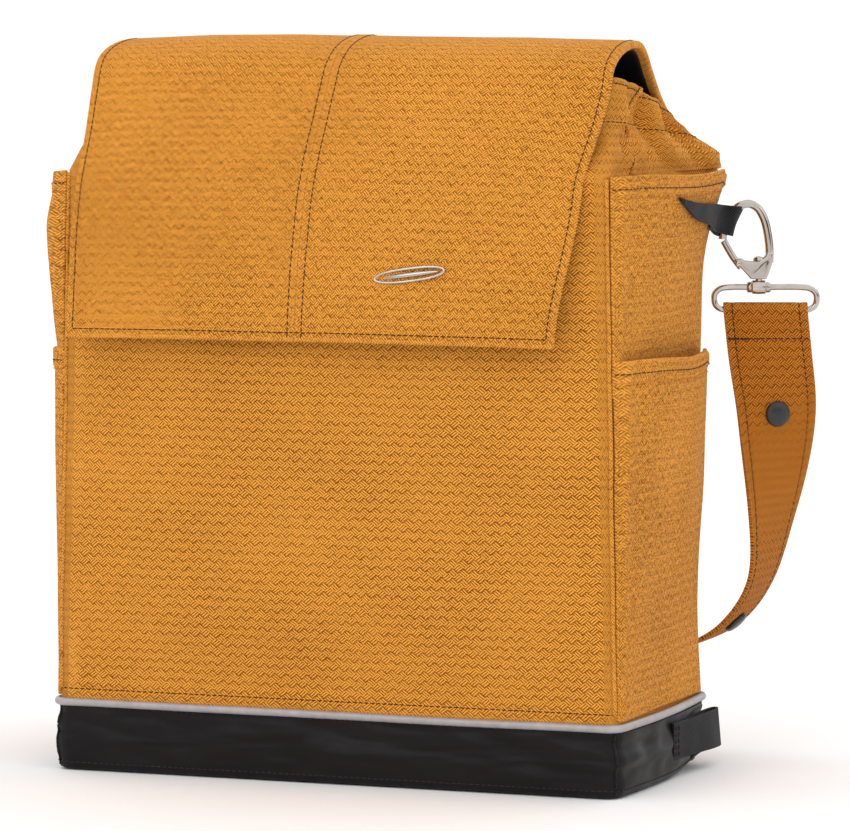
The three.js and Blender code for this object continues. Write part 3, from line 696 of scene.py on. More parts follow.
def thicken(piece: bpy.types.Object, depth: float, round_edge: float = 0.0) -> bpy.types.Object:
    """Gives a sheet its thickness behind its face, and rounds its cut edges.

    Args:
        piece: the sheet.
        depth: its thickness.
        round_edge: the radius of its edges, or 0 to leave them.

    Returns:
        The same piece.
    """
    wall = piece.modifiers.new("thickness", "SOLIDIFY")
    wall.thickness = depth
    wall.offset = -1.0
    wall.use_even_offset = False
    if round_edge:
        edge = piece.modifiers.new("rounded_edge", "BEVEL")
        edge.width = round_edge
        edge.segments = 3
        edge.limit_method = "ANGLE"
        edge.angle_limit = math.radians(50)
    return piece


def tube(
    name: str, route: Route, radius: float, material: bpy.types.Material, steps: int, sides: int = 14,
    closed: bool = False, flat: float = 1.0, flat_way: Vector | None = None,
) -> bpy.types.Object:
    """A round or flattened wire along a route.

    Args:
        name: the piece's name.
        route: its centre line.
        radius: its radius.
        material: its finish.
        steps: how many cells it has along.
        sides: how many cells it has around.
        closed: whether its ends meet.
        flat: its thickness along flat_way, as a share of its other width.
        flat_way: the direction that it is flattened in.

    Returns:
        The wire.
    """
    guide = flat_way or Vector((0.0, 0.0, 1.0))

    def place(u: float, v: float) -> Vector:
        """A point of the wire's skin."""
        run = route.length * v
        heading = route.heading(run)
        if closed and (v in (0.0, 1.0)):
            heading = (route.at(0.0006) - route.at(route.length - 0.0006)).normalized()
        side = heading.cross(guide).normalized()
        up = side.cross(heading).normalized()
        angle = 2 * math.pi * u
        return route.at(run) + side * radius * math.cos(angle) + up * radius * flat * math.sin(angle)

    piece = cloth_sheet(name, (sides, steps), (2 * math.pi * radius, route.length), place, material, True)
    fill_rims(piece, outwards=True)
    return piece


def lathe(
    name: str, profile: Outline, foot: Vector, axis: Vector, material: bpy.types.Material, steps: int = 40,
) -> bpy.types.Object:
    """A turned piece, spun from its profile.

    Args:
        name: the piece's name.
        profile: its radius and height at each corner in millimetres, from the axis back to the axis.
        foot: where its height is 0.
        axis: the way that its height rises.
        material: its finish.
        steps: how many cells it has around.

    Returns:
        The piece.
    """
    bm = bmesh.new()
    corners = [bm.verts.new((radius * MM, 0.0, height * MM)) for radius, height in profile]
    rim = [bm.edges.new(pair) for pair in zip(corners, corners[1:])]
    bmesh.ops.spin(
        bm, geom=corners + rim, cent=(0, 0, 0), axis=(0, 0, 1), angle=2 * math.pi, steps=steps,
        use_merge=True,
    )
    bmesh.ops.remove_doubles(bm, verts=bm.verts, dist=1e-6)
    bmesh.ops.recalc_face_normals(bm, faces=bm.faces)
    bmesh.ops.bevel(
        bm, geom=[edge for edge in bm.edges if edge.calc_face_angle(0) > math.radians(40)], offset=0.25 * MM,
        segments=2, profile=0.5, affect="EDGES", material=-1,
    )
    turn = axis.to_track_quat("Z", "Y").to_matrix().to_4x4()
    bmesh.ops.transform(bm, matrix=Matrix.Translation(foot) @ turn, verts=bm.verts)
    return finish_mesh(name, bm, material)


SKINS: dict[str, BVHTree] = {}


def skin_of(piece: bpy.types.Object) -> BVHTree:
    """The faces of a piece, ready to be searched."""
    if piece.name not in SKINS:
        corners = [vert.co for vert in piece.data.vertices]
        SKINS[piece.name] = BVHTree.FromPolygons(corners, [face.vertices[:] for face in piece.data.polygons])
    return SKINS[piece.name]


class Seam:
    """Rows of separate stitches, gathered into one piece."""

    STITCH = 3.3 * MM
    PITCH = 3.7 * MM
    RADIUS = 0.42 * MM
    BATCH = 24

    def __init__(self, name: str, material: bpy.types.Material) -> None:
        """Starts an empty row set."""
        self.name = name
        self.material = material
        self.bm = bmesh.new()

    def run(
        self, places: Sequence[Vector], on: bpy.types.Object, fine: float = 1.0, sink: float = 0.05 * MM,
    ) -> None:
        """Sews a row of stitches on a piece.

        Args:
            places: points close to the row, which are moved onto the piece.
            on: the piece that it is sewn to.
            fine: the stitches' size, as a share of the usual one.
            sink: how deep the thread's middle lies in the cloth.
        """
        skin = skin_of(on)
        route = Route(list(places))
        count = max(1, round(route.length / (self.PITCH * fine)))
        row = bmesh.new()
        for i in range(count):
            middle = route.length * (i + 0.5) / count
            place, normal, _, _ = skin.find_nearest(route.at(middle))
            heading = route.heading(middle, 0.001)
            side = normal.cross(heading).normalized()
            ahead = side.cross(normal).normalized()
            turn = Matrix((ahead, side, normal)).transposed().to_4x4()
            size = Matrix.Diagonal((self.STITCH * fine / 2, self.RADIUS * fine, self.RADIUS * fine, 1.0))
            bmesh.ops.create_uvsphere(
                row, u_segments=6, v_segments=4, radius=1.0,
                matrix=Matrix.Translation(place + normal * (self.RADIUS * 0.3 - sink)) @ turn @ size,
            )
            if i % self.BATCH == self.BATCH - 1:
                self.gather(row)
                row = bmesh.new()
        self.gather(row)

    def gather(self, row: bmesh.types.BMesh) -> None:
        """Adds a few finished stitches to the set."""
        mesh = bpy.data.meshes.new("row")
        row.to_mesh(mesh)
        row.free()
        self.bm.from_mesh(mesh)
        bpy.data.meshes.remove(mesh)

    def sew(self) -> bpy.types.Object:
        """Ends the row set.

        Returns:
            The stitches as one piece.
        """
        return finish_mesh(self.name, self.bm, self.material)


def enter(piece: bpy.types.Object, body: Body, slot: str, *nodes: str) -> bpy.types.Object:
    """Joins a finished piece to its body, or bakes it in place when it lies between two, and hides the CAD
    nodes that it replaces.

    Args:
        piece: the piece.
        body: the body it rides on, or two bodies with the start and end of a bend, in which case the piece is
            only baked in place and neither joined nor bent.
        slot: not used.
        nodes: the CAD nodes that it replaces.

    Returns:
        The same piece.
    """
    if isinstance(body, str):
        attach(piece, body)
    else:
        first, second, start, end = body
        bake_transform(piece)
        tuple(start)
        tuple(end)
    if nodes:
        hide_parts(*nodes)
    log.info("%s: %d faces", piece.name, len(piece.data.polygons))
    return piece


# ------------------------------------------------------------------ the body's form


@dataclass(frozen=True)
class Section:
    """A level cut through the bag: a rectangle with rounded corners."""

    half: float
    front: float
    back: float
    corner: float


class Panel(Enum):
    """The stretches of a ring around the bag, with the cells that each gets."""

    FRONT = 44
    FRONT_RIGHT = 5
    RIGHT = 24
    BACK_RIGHT = 6
    BACK = 45
    BACK_LEFT = 7
    LEFT = 23
    FRONT_LEFT = 8


RING_CELLS = sum(panel.value for panel in Panel)


@dataclass(frozen=True)
class RingPoint:
    """A point on a ring: its place, its way out, its panel and its share along it."""

    x: float
    y: float
    out: Vector
    panel: Panel
    share: float


def around(section: Section, u: float) -> RingPoint:
    """The point of a section a share u of the way around, from the front's left end.

    Args:
        section: the cut to follow.
        u: the share of the ring's cells.

    Returns:
        The point.
    """
    cell = u * RING_CELLS
    for panel in Panel:
        if cell <= panel.value:
            break
        cell -= panel.value
    share = clamp(cell / panel.value)
    half, front, back, r = section.half, section.front, section.back, section.corner
    flat = {
        Panel.FRONT: ((r - half, front), (half - r, front), (0, -1)),
        Panel.RIGHT: ((half, front + r), (half, back - r), (1, 0)),
        Panel.BACK: ((half - r, back), (r - half, back), (0, 1)),
        Panel.LEFT: ((-half, back - r), (-half, front + r), (-1, 0)),
    }
    if panel in flat:
        start, end, out = flat[panel]
        x, y = (lerp(a, b, share) for a, b in zip(start, end))
        return RingPoint(x, y, Vector((*out, 0)), panel, share)
    centre, first = {
        Panel.FRONT_RIGHT: ((half - r, front + r), -90),
        Panel.BACK_RIGHT: ((half - r, back - r), 0),
        Panel.BACK_LEFT: ((r - half, back - r), 90),
        Panel.FRONT_LEFT: ((r - half, front + r), 180),
    }[panel]
    angle = math.radians(first + 90 * share)
    out = Vector((math.cos(angle), math.sin(angle), 0))
    return RingPoint(centre[0] + r * out.x, centre[1] + r * out.y, out, panel, share)


@dataclass(frozen=True)
class BodyForm:
    """The outer face of the bag's soft body, from the piping to the pocket hems."""

    low: float
    high: float
    low_section: Section
    high_section: Section

    def section(self, z: float) -> Section:
        """The body's cut at a height."""
        t = (z - self.low) / (self.high - self.low)
        a, b = self.low_section, self.high_section
        names = ("half", "front", "back", "corner")
        return Section(*(lerp(getattr(a, name), getattr(b, name), t) for name in names))

    @staticmethod
    def read(frame_top: float) -> "BodyForm":
        """Reads the form off the frame's panels.

        Args:
            frame_top: the height of the pocket hems.

        Returns:
            The form.
        """
        front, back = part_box("front_panel"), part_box("back_panel")
        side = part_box("side_panel_right")
        low = front[0].z
        return BodyForm(
            low, frame_top,
            Section(side[1].x, front[0].y, back[0].y + 3 * MM, 7 * MM),
            Section(side[0].x + 3 * MM, front[1].y - 3 * MM, back[1].y, 9 * MM),
        )


def back_corner(x: float, y: float) -> float:
    """How near a place is to the bag's upright back corners, from 0 to 1."""
    return smooth((abs(x) - 110 * MM) / (60 * MM)) * smooth((y - 20 * MM) / (60 * MM))


def settle(point: Vector) -> Vector:
    """Lets the soft body sag and flare: the same small moves for every cloth piece.

    Args:
        point: a place on the stiff form.

    Returns:
        Where the soft cloth has moved it.
    """
    x, y, z = point
    free = smooth((z - 55 * MM) / (60 * MM))
    flare = back_corner(x, y) * hump(z, 358 * MM, 36 * MM)
    pinch = smooth(y / (80 * MM)) * smooth((abs(x) - 90 * MM) / (80 * MM)) * hump(z, 110 * MM, 62 * MM)
    side = math.copysign(1, x)
    slow = ruffle(point, 9.0, 3.1)
    small = ruffle(point, 24.0, 8.4)
    moved = point + Vector((side * 8 * MM, 19 * MM, 0)) * flare - Vector((side * 1.5 * MM, 9 * MM, 0)) * pinch
    moved += Vector((0.8 * slow + 0.4 * small, -1.2 * slow + 0.5 * small, 0.5 * small)) * MM * free
    return moved


# ------------------------------------------------------------------ the shell, boot and piping


@dataclass
class Shell:
    """The soft body: its outer shell, its lining and the neck above it."""

    finishes: Finishes
    form: BodyForm
    front_bulge: float = 15 * MM
    side_bulge: float = 2.5 * MM
    back_bulge: float = 4 * MM
    wall: float = 3 * MM
    neck_half: float = 160 * MM
    neck_front: tuple[float, float] = (-45 * MM, 411 * MM)
    neck_back: tuple[float, float] = (60 * MM, 385 * MM)
    neck_wall: float = 1.8 * MM
    neck_high: float = 62 * MM
    hem_heights: Outline = ((0.0, 411 * MM), (0.35, 407 * MM), (0.7, 398 * MM), (1.0, 386 * MM))
    tucks: tuple[tuple[float, float, float], ...] = (
        (0.1, 0.12, 9), (0.3, -0.14, 6), (0.47, 0.1, 8), (0.66, -0.12, 7), (0.86, 0.06, 9),
    )
    lining_floor: float = 7 * MM
    lining_split: float = 0.62

    def bulge(self, point: RingPoint, z: float) -> float:
        """How far the cloth stands out of the stiff form."""
        t = (z - self.form.low) / (self.form.high - self.form.low)
        across = max(0.0, 1 - abs(2 * point.share - 1) ** 2.2)
        if point.panel is Panel.FRONT:
            rise = along_list(((0.0, 0.0), (0.25, 0.62), (0.6, 1.0), (1.0, 0.6)), t)
            return self.front_bulge * across**0.8 * rise
        if point.panel is Panel.BACK:
            return self.back_bulge * across * math.sin(math.pi * clamp(t))
        if point.panel in (Panel.RIGHT, Panel.LEFT):
            return self.side_bulge * across * math.sin(math.pi * clamp(0.1 + 0.9 * t))
        return 0.0

    def body_place(self, u: float, v: float) -> Vector:
        """A point of the outer shell."""
        z = lerp(self.form.low - 1.5 * MM, self.form.high, v)
        section = self.form.section(z)
        point = around(section, u)
        place = Vector((point.x, point.y, z)) + point.out * self.bulge(point, z)
        drag = ruffle(Vector((place.x * 0.6, place.y, z * 2.2)), 30.0, 5.0)
        soft = 1.0 if point.panel is Panel.FRONT else 0.6
        foot = hump(z, self.form.low, 26 * MM)
        pucker = 0.5 * MM * foot * math.sin(place.x * 300 + 3 * ruffle(place, 20.0)) if foot > 0.02 else 0.0
        return settle(place + point.out * (0.55 * MM * drag * soft + pucker))

    def neck_place(self, u: float, v: float, inset: float = 0.0) -> Vector:
        """A point of the neck, whose hem falls from front to back."""
        low = around(self.form.section(self.form.high), u)
        high = around(Section(self.neck_half, self.neck_front[0], self.neck_back[0], 14 * MM), u)
        depth = (high.y - self.neck_front[0]) / (self.neck_back[0] - self.neck_front[0])
        hem_z = along_list(self.hem_heights, clamp(depth))
        start = self.form.high - 0.5 * MM
        z = lerp(start, hem_z, v)
        ease = v + 0.12 * math.sin(math.pi * v)
        place = Vector((lerp(low.x, high.x, ease), lerp(low.y, high.y, ease), z))
        place += low.out * self.bulge(low, self.form.high) * (1 - smooth(v * 1.3))
        back = back_corner(low.x, low.y)
        place += Vector((math.copysign(1, low.x), 1.0, 0)) * 5 * MM * back * hump(v, 0.35, 0.35)
        fold = math.sin(math.pi * clamp(v * 0.94 + 0.03))
        side = 1.0 if low.panel in (Panel.RIGHT, Panel.LEFT) else 0.35
        crumple = ruffle(Vector((place.y + 0.3 * z, place.x, z * 0.5)), 40.0, 2.0) * 11.0 * MM
        crease = (2 - 9 * abs(ruffle(Vector((place.y - 0.5 * z, place.x * 0.5, z * 0.35)), 46.0, 6.0))) * MM
        crease += ruffle(Vector((place.y, place.x, z)), 95.0, 2.2) * 2.0 * MM
        if side > 0.9:
            crease += 6.0 * MM * math.sin(math.pi * clamp(1.6 * v + 0.1)) * math.sin(math.pi * low.share)
            for start, lean, depth in self.tucks:
                crease -= depth * MM * hump(low.share, start + lean * v, 0.045)
        place += low.out * ((crumple + crease) * fold * side - inset)
        return settle(place)

    def lining_place(self, u: float, v: float) -> Vector:
        """A point of the black liner, just inside the shell and the neck."""
        inset = self.wall + 2.6 * MM
        if v < self.lining_split:
            z = lerp(self.lining_floor, self.form.high, v / self.lining_split)
            section = self.form.section(z)
            inner = Section(section.half - inset, section.front + inset, section.back - inset, 6 * MM)
            point = around(inner, u)
            place = Vector((point.x, point.y, z))
            return settle(place) if z > 60 * MM else place
        t = (v - self.lining_split) / 0.38
        shift = 2.3 * MM + (inset - 2.3 * MM) * (1 - smooth(t * 2.5))
        return self.neck_place(u, t * 0.985, shift)

    def build(self) -> None:
        """Makes the shell, neck and lining, with their seams."""
        high = self.form.high - self.form.low
        ring = 2 * (self.form.low_section.half * 2 + self.form.low_section.back - self.form.low_section.front)
        cut = (ring, high)
        body = cloth_sheet("body_shell", (RING_CELLS, 84), cut, self.body_place, self.finishes.cloth, True)
        thicken(body, self.wall, 0.8 * MM)
        enter(body, ROOT, "fabric", "front_panel", "back_panel", "side_panel_left", "side_panel_right")
        cut = (ring, self.neck_high)
        neck = cloth_sheet("neck", (RING_CELLS, 36), cut, self.neck_place, self.finishes.cloth, True)
        thicken(neck, self.neck_wall, 0.6 * MM)
        enter(neck, ROOT, "fabric", "neck_front", "neck_back", "neck_left", "neck_right")
        lining = cloth_sheet(
            "lining_bag", (RING_CELLS, 70), (ring, 400 * MM), self.lining_place, self.finishes.lining, True,
        )
        low = min(vert.co.z for vert in lining.data.vertices)
        fill_rims(lining, below=low + 1 * MM)
        thicken(lining, 0.8 * MM)
        enter(lining, ROOT, "lining", "lining")
        self.sew_body(body)
        self.sew_neck(neck)

    def sew_body(self, body: bpy.types.Object) -> None:
        """Sews the row above the piping, dark stitches that stand in for the seam groove's shadow there, and
        the welts at the upright corners.
        """
        # painted shadow: this stitch row above the piping stands in for the dark shadow line of the seam
        # groove
        row = Seam("body_foot_stitches", self.finishes.thread)
        row.run(ring_row(self.body_place, 0.022, 159), body)
        enter(row.sew(), ROOT, "fabric")
        welts = Seam("corner_stitches", self.finishes.thread)
        last = 0
        for panel in Panel:
            first, last = last, last + panel.value
            if "_" not in panel.name:
                continue
            middle = (first + last) / 2 / RING_CELLS
            out = around(self.form.section(0.2), middle).out
            line = [self.body_place(middle, lerp(0.02, 0.995, t)) + out * 0.5 * MM for t in shares(40)]
            name = f"corner_welt_{panel.name.lower()}"
            enter(tube(name, Route(line), 1.25 * MM, self.finishes.cloth, 90, 10), ROOT, "fabric")
            cell = last + 1.1 if panel in (Panel.FRONT_RIGHT, Panel.BACK_LEFT) else first - 1.1
            beside = (cell / RING_CELLS) % 1.0
            welts.run([self.body_place(beside, lerp(0.02, 0.99, t)) for t in shares(40)], body)
        enter(welts.sew(), ROOT, "fabric")

    def sew_neck(self, neck: bpy.types.Object) -> None:
        """Sews the neck's hem, its cross seam and its upright seams."""
        rows = Seam("neck_stitches", self.finishes.thread)
        for height in (0.94, 0.55):
            rows.run(ring_row(self.neck_place, height, 179), neck)
        for number, (low, high) in enumerate(((0.335, 0.375), (0.945, 0.905))):
            line = [self.neck_place(lerp(low, high, t**1.5), t) for t in shares(20)]
            ridge = tube(f"neck_seam_{number}", Route(line), 1.5 * MM, self.finishes.cloth, 40, 10)
            enter(ridge, ROOT, "fabric")
            rows.run([self.neck_place(lerp(low, high, t**1.5) - 0.004, t) for t in shares(20)], neck)
        enter(rows.sew(), ROOT, "fabric")


@dataclass
class Boot:
    """The black base and the piping above it."""

    finishes: Finishes
    form: BodyForm
    tape: float = 2.35 * MM
    side_swell: float = 3.5 * MM
    corner_lift: float = 7 * MM
    seam_cells: tuple[float, ...] = (46.5, 76.0, 127.5, 158.0)
    profile: tuple[tuple[float, float, float], ...] = (
        (0.0, 10.0, 0.0), (0.12, 3.2, 0.15), (0.2, 0.8, 1.4), (0.28, 0.0, 4.0), (0.6, -0.9, 20.0),
        (1.0, 1.2, 39.0),
    )

    def __post_init__(self) -> None:
        """Reads the boot's size off the frame."""
        low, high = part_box("base_bottom")
        self.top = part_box("boot_front")[1].z
        self.section = Section(high.x, low.y, high.y, 11 * MM)

    def swell(self, point: RingPoint) -> float:
        """How far the boot's sides stand out of its straight outline."""
        if point.panel not in (Panel.RIGHT, Panel.LEFT):
            return 0.0
        return self.side_swell * max(0.0, 1 - abs(2 * point.share - 1) ** 2)

    def wall_place(self, u: float, v: float) -> Vector:
        """A point of the boot, from under its sole's edge up to the piping."""
        s = self.section
        inset = along_list([(share, inwards * MM) for share, inwards, _ in self.profile], v)
        z = along_list([(share, height * MM) for share, _, height in self.profile], v)
        corner = max(2 * MM, s.corner - inset)
        point = around(Section(s.half - inset, s.front + inset, s.back - inset, corner), u)
        lifted = smooth((abs(point.x) - 118 * MM) / (52 * MM)) * smooth(point.y / (75 * MM))
        place = Vector((point.x, point.y, z + self.corner_lift * lifted * (1 - smooth(v / 0.7))))
        loose = smooth((v - 0.2) / 0.3) * (1 - smooth((v - 0.85) / 0.15))
        crease = ruffle(Vector((place.x * 0.8 + z, place.y * 0.8, z * 2.2)), 46.0, 1.0) * 2.6 * MM
        fine = ruffle(Vector((place.x, place.y - z, z * 2.5)), 100.0, 4.0) * 1.0 * MM
        return place + point.out * (self.swell(point) * smooth(v / 0.3) + (crease + fine) * loose)

    def piping_route(self) -> Route:
        """The piping's centre line, a loop around the body's foot."""
        s = self.section
        ring = Section(s.half + 0.2 * MM, s.front - 0.2 * MM, s.back + 0.2 * MM, 10 * MM)
        places = []
        for i in range(RING_CELLS):
            point = around(ring, i / RING_CELLS)
            wave = ruffle(Vector((point.x, point.y, 0.0)), 12.0, 2.0) * 0.7 * MM
            off = self.swell(point) - 0.6 * MM
            places.append(Vector((point.x, point.y, self.top + 2.6 * MM + wave)) + point.out * off)
        return Route(places, closed=True)

    def build(self) -> None:
        """Makes the boot, its sole, piping and stitches."""
        ring = 4 * self.section.half + 2 * (self.section.back - self.section.front)
        cut = (ring, 50 * MM)
        boot = cloth_sheet("boot", (RING_CELLS, 44), cut, self.wall_place, self.finishes.boot, True)
        fill_rims(boot, below=0.5 * MM)
        thicken(boot, 1.6 * MM)
        enter(boot, ROOT, "boot", "base_bottom", "boot_front", "boot_back", "boot_left", "boot_right")
        for number, cell in enumerate(self.seam_cells):
            line = [self.wall_place(cell / RING_CELLS, lerp(0.24, 0.97, t)) for t in shares(24)]
            seam = tube(f"boot_corner_seam_{number}", Route(line), 0.9 * MM, self.finishes.boot, 40, 8)
            enter(seam, ROOT, "boot")
        piping = tube("piping", self.piping_route(), self.tape, self.finishes.tape, 420, 14, closed=True)
        enter(piping, ROOT, "piping", "reflective_piping")
        rows = Seam("boot_stitches", self.finishes.dark_thread)
        for height in (0.93, 0.32):
            rows.run(ring_row(self.wall_place, height, 200), boot)
        enter(rows.sew(), ROOT, "boot")


# ------------------------------------------------------------------ pockets


@dataclass
class Pocket:
    """One patch pocket on a side of the bag."""

    finishes: Finishes
    form: BodyForm
    side: Side
    name: str
    low: float
    high: float
    gape: float
    over: tuple[float, float] | None
    cloth: float = 2.2 * MM
    edge: float = 2.2 * MM
    fullness: float = 0.7
    slump: float = 0.0
    hem: float = 13 * MM
    hem_rows: tuple[float, float] = (7.5 * MM, 12.6 * MM)
    pleats: Outline = ((0.1, 0.035), (0.9, 0.04))

    def share_at(self, y: float, z: float) -> float:
        """The share of the way from the pocket's front seam to its back seam."""
        section = self.form.section(z)
        return (y - section.front - self.edge) / (section.back - section.front - 2 * self.edge)

    def skin(self, share: float, z: float) -> Vector:
        """A point of the pocket's outer face on the right-hand side, before it settles."""
        section = self.form.section(z)
        rise = (z - self.low) / (self.high - self.low)
        bow = math.sin(math.pi * clamp(share)) ** (self.fullness if share < 0.5 else 0.8)
        lap = smooth((z - self.over[0]) / (self.over[1] - self.over[0])) if self.over else 0.0
        sewn = smooth(min(share, 1 - share) / 0.035)
        if self.slump:
            rise = math.sin(math.pi / 2 * clamp(rise / 0.8)) * (1 - self.slump * smooth((rise - 0.72) / 0.28))
        full = self.gape * max(rise, 0.0) * bow
        room = 0.5 * MM + sewn * (lap * (self.cloth + 0.3 * MM) + full + self.cloth)
        roll = 1.2 * MM * sewn * smooth((z - self.high + self.hem) / (2 * MM))
        y = lerp(section.front + self.edge, section.back - self.edge, share)
        return Vector((section.half + room + roll, y, z))

    def place(self, u: float, v: float) -> Vector:
        """A settled point of the pocket, u running towards its right as seen from outside."""
        share = u if self.side is Side.RIGHT else 1 - u
        dip = 1.6 * MM * math.sin(math.pi * share) * v**3 * math.cos(5 * share)
        dip -= 5 * MM * smooth((share - 0.86) / 0.14) * v**8
        dip -= 26 * MM * self.slump * math.sin(math.pi * share) * v**3
        z = lerp(self.low, self.high, v) + dip
        place = self.skin(share, z)
        away = math.sin(math.pi * clamp(share))
        spot = Vector((place.y * 1.2, z * 0.8, self.side.value * 0.3))
        slack = ruffle(spot, 26.0, 7.0 + self.gape) * 1.6 * MM
        pleat = 0.0
        for centre, width in self.pleats:
            pleat -= 1.6 * MM * hump(share, centre + 0.02 * math.sin(z * 40), width) * clamp(v * 1.2)
        place.x += slack * away * (0.35 + 0.65 * v) + pleat
        place.x *= self.side.value
        return settle(place)

    def build(self) -> None:
        """Makes the pocket with its rolled hem, its seams and its bottom tuck."""
        width = self.form.high_section.back - self.form.high_section.front
        height = self.high - self.low
        name, cloth = f"{self.name}_cloth", self.finishes.side_cloth
        piece = cloth_sheet(name, (56, 60), (width, height), self.place, cloth)
        thicken(piece, self.cloth, 0.9 * MM)
        enter(piece, ROOT, "fabric", self.name)
        rows = Seam(f"{self.name}_stitches", self.finishes.thread)
        pale = Seam(f"{self.name}_hem_stitches", self.finishes.pale_thread)
        for seam, down in zip((rows, pale), self.hem_rows):
            seam.run([self.place(t, 1 - down / height) for t in shares(40)], piece)
        if not self.over:
            rows.run([self.place(t, 0.02) for t in shares(40)], piece)
        for seam in (rows, pale):
            enter(seam.sew(), ROOT, "fabric")


# ------------------------------------------------------------------ flap


@dataclass
class Flap:
    """The padded flap, its lining, its hinge strip, its seams and its badge."""

    finishes: Finishes
    thickness: float = 4.4 * MM
    middle: float = -4 * MM
    edge_row: float = 4.6 * MM
    hem_row: float = 5.2 * MM
    middle_row: float = 4.4 * MM
    path: Outline = (
        (61.5, 391), (42, 403), (22, 415), (-4, 430.2), (-28, 431.4), (-49, 426), (-62, 417), (-68.5, 402),
        (-76, 381), (-91, 346), (-100, 305), (-107, 259),
    )
    reaches: tuple[Outline, Outline] = (
        ((0.0, 153), (0.3, 154), (0.44, 157), (0.6, 159), (1.0, 159)),
        ((0.0, 158), (0.3, 165), (0.47, 165), (0.7, 155), (1.0, 144)),
    )
    hinge: Outline = ((62, 374), (63.2, 382), (63.4, 389), (59.5, 394.5), (50, 400.5))
    hinge_half: float = 152 * MM

    def __post_init__(self) -> None:
        """Lays the flap's path from its hinge to its hem."""
        self.route = Route([Vector((0, y * MM, z * MM)) for y, z in self.path])
        self.bend = ("flap_top", "flap_front", Vector((0, -0.050, 0.424)), Vector((0, -0.070, 0.398)))

    def half_at(self, v: float, side: Side = Side.RIGHT) -> float:
        """The flap's reach to one side, a share v of the way from hinge to hem."""
        return along_list(self.reaches[side is Side.RIGHT], v) * MM

    def out_at(self, v: float) -> Vector:
        """The flap's way out at a share of its path."""
        heading = self.route.heading(self.route.length * v, 0.003)
        return Vector((0, heading.z, -heading.y))

    def place(self, across: float, v: float, lift: float = 0.0) -> Vector:
        """A point of the flap's outer face.

        Args:
            across: from -1 at its left edge to 1 at its right edge.
            v: the share of the way from its hinge to its hem.
            lift: how far it stands off that face.

        Returns:
            The place.
        """
        run = self.route.length * v
        centre = self.route.at(run)
        out = self.out_at(v)
        half = self.half_at(v, Side.LEFT if across < 0 else Side.RIGHT)
        x = across * half
        edge = 1 - abs(across) ** 6
        pad = 1.3 * MM * edge * (1 - hump(v, 1.0, 0.05))
        cover = smooth((v - 0.42) / 0.2)
        bow = (1 - across**2) * 5 * MM * cover - 4.5 * MM * cover * abs(across) ** 3
        sag = ruffle(Vector((x, v * 0.3, 0.0)), 11.0, 9.0) * 3.0 * MM
        sag += ruffle(Vector((x, v * 0.5, 2.0)), 30.0, 4.0) * 0.6 * MM
        lip = -0.7 * MM * hump(abs(across) * half, half - self.edge_row, 1.2 * MM)
        lip -= 0.7 * MM * hump(run, self.route.length - self.hem_row, 1.2 * MM)
        off = x - self.middle_at(v)
        rows = hump(off, self.middle_row, 0.9 * MM) + hump(off, -self.middle_row, 0.9 * MM)
        seam = 0.9 * MM * hump(off, 0, 3.4 * MM) - 0.8 * MM * rows
        wave = math.sin(across * 9) * 1.0 * MM * hump(v, 1.0, 0.12)
        off = pad + bow + sag * (0.4 + 0.6 * v) + lip + seam + wave + lift
        return Vector((x, centre.y, centre.z)) + out * off

    def middle_at(self, v: float) -> float:
        """The middle seam's place across the flap."""
        return self.middle - 5 * MM * v + 1.5 * MM * math.sin(5 * v)

    def half_sheet(self, side: Side) -> bpy.types.Object:
        """One half of the outer cloth, from the middle seam to the flap's edge.

        Args:
            side: which half.

        Returns:
            The padded half.
        """

        def place(u: float, v: float) -> Vector:
            """A point of this half, hem first so that it faces out."""
            down = 1 - v
            middle = self.middle_at(down) / self.half_at(down, Side.LEFT)
            ends = (-1.0, middle) if side is Side.LEFT else (middle, 1.0)
            return self.place(lerp(*ends, u), down)

        cut = (self.half_at(0.5, side) - side.value * self.middle, self.route.length)
        piece = cloth_sheet(f"flap_{side.word}", (52, 130), cut, place, self.finishes.flap_cloth)
        thicken(piece, self.thickness, 1.5 * MM)
        return piece

    def build(self) -> None:
        """Makes both halves, the lining, the hinge strip, the seams and the badge."""
        for side in Side:
            piece = self.half_sheet(side)
            enter(piece, self.bend, "fabric", f"flap_top_{side.word}", f"flap_front_{side.word}")
            self.sew_half(piece, side)
        self.add_lining()
        self.add_hinge()
        self.add_badge()

    def sew_half(self, piece: bpy.types.Object, side: Side) -> None:
        """Sews a half's topstitching and its row beside the middle seam."""
        rows = Seam(f"flap_stitches_{side.word}", self.finishes.thread)
        sign = side.value

        def edge(v: float) -> float:
            """How far across the row inside the flap's side edge runs."""
            return sign * (1 - self.edge_row / self.half_at(v, side))

        def beside(v: float) -> Vector:
            """A point of the row beside the middle seam."""
            x = self.middle_at(v) + sign * self.middle_row
            return self.place(x / self.half_at(v, Side.LEFT if x < 0 else Side.RIGHT), v)

        last = 1 - self.hem_row / self.route.length
        downs = [lerp(0.02, last, t) for t in shares(80)]
        rows.run([self.place(edge(v), v) for v in downs], piece)
        start = self.middle_at(last) / self.half_at(last, Side.LEFT)
        rows.run([self.place(lerp(start, edge(last), t), last) for t in shares(40)], piece)
        rows.run([beside(lerp(0.01, 0.995, t)) for t in shares(80)], piece)
        enter(rows.sew(), self.bend, "fabric")

    def add_lining(self) -> None:
        """Makes the black lining under the flap, set in from its edges."""

        def place(u: float, v: float) -> Vector:
            """A point of the lining, which faces down."""
            across = lerp(-0.972, 0.972, u)
            under = -self.thickness - 0.3 * MM - 0.5 * MM * (1 - abs(across))
            return self.place(across, lerp(0.012, 0.982, v), under)

        cut = (310 * MM, self.route.length)
        lining = cloth_sheet("flap_lining", (90, 110), cut, place, self.finishes.lining)
        thicken(lining, -0.6 * MM)
        enter(
            lining, self.bend, "lining", "flap_top_lining", "flap_front_lining", "flap_top_stiffener",
            "flap_front_stiffener", "flap_magnet_left", "flap_magnet_right",
        )

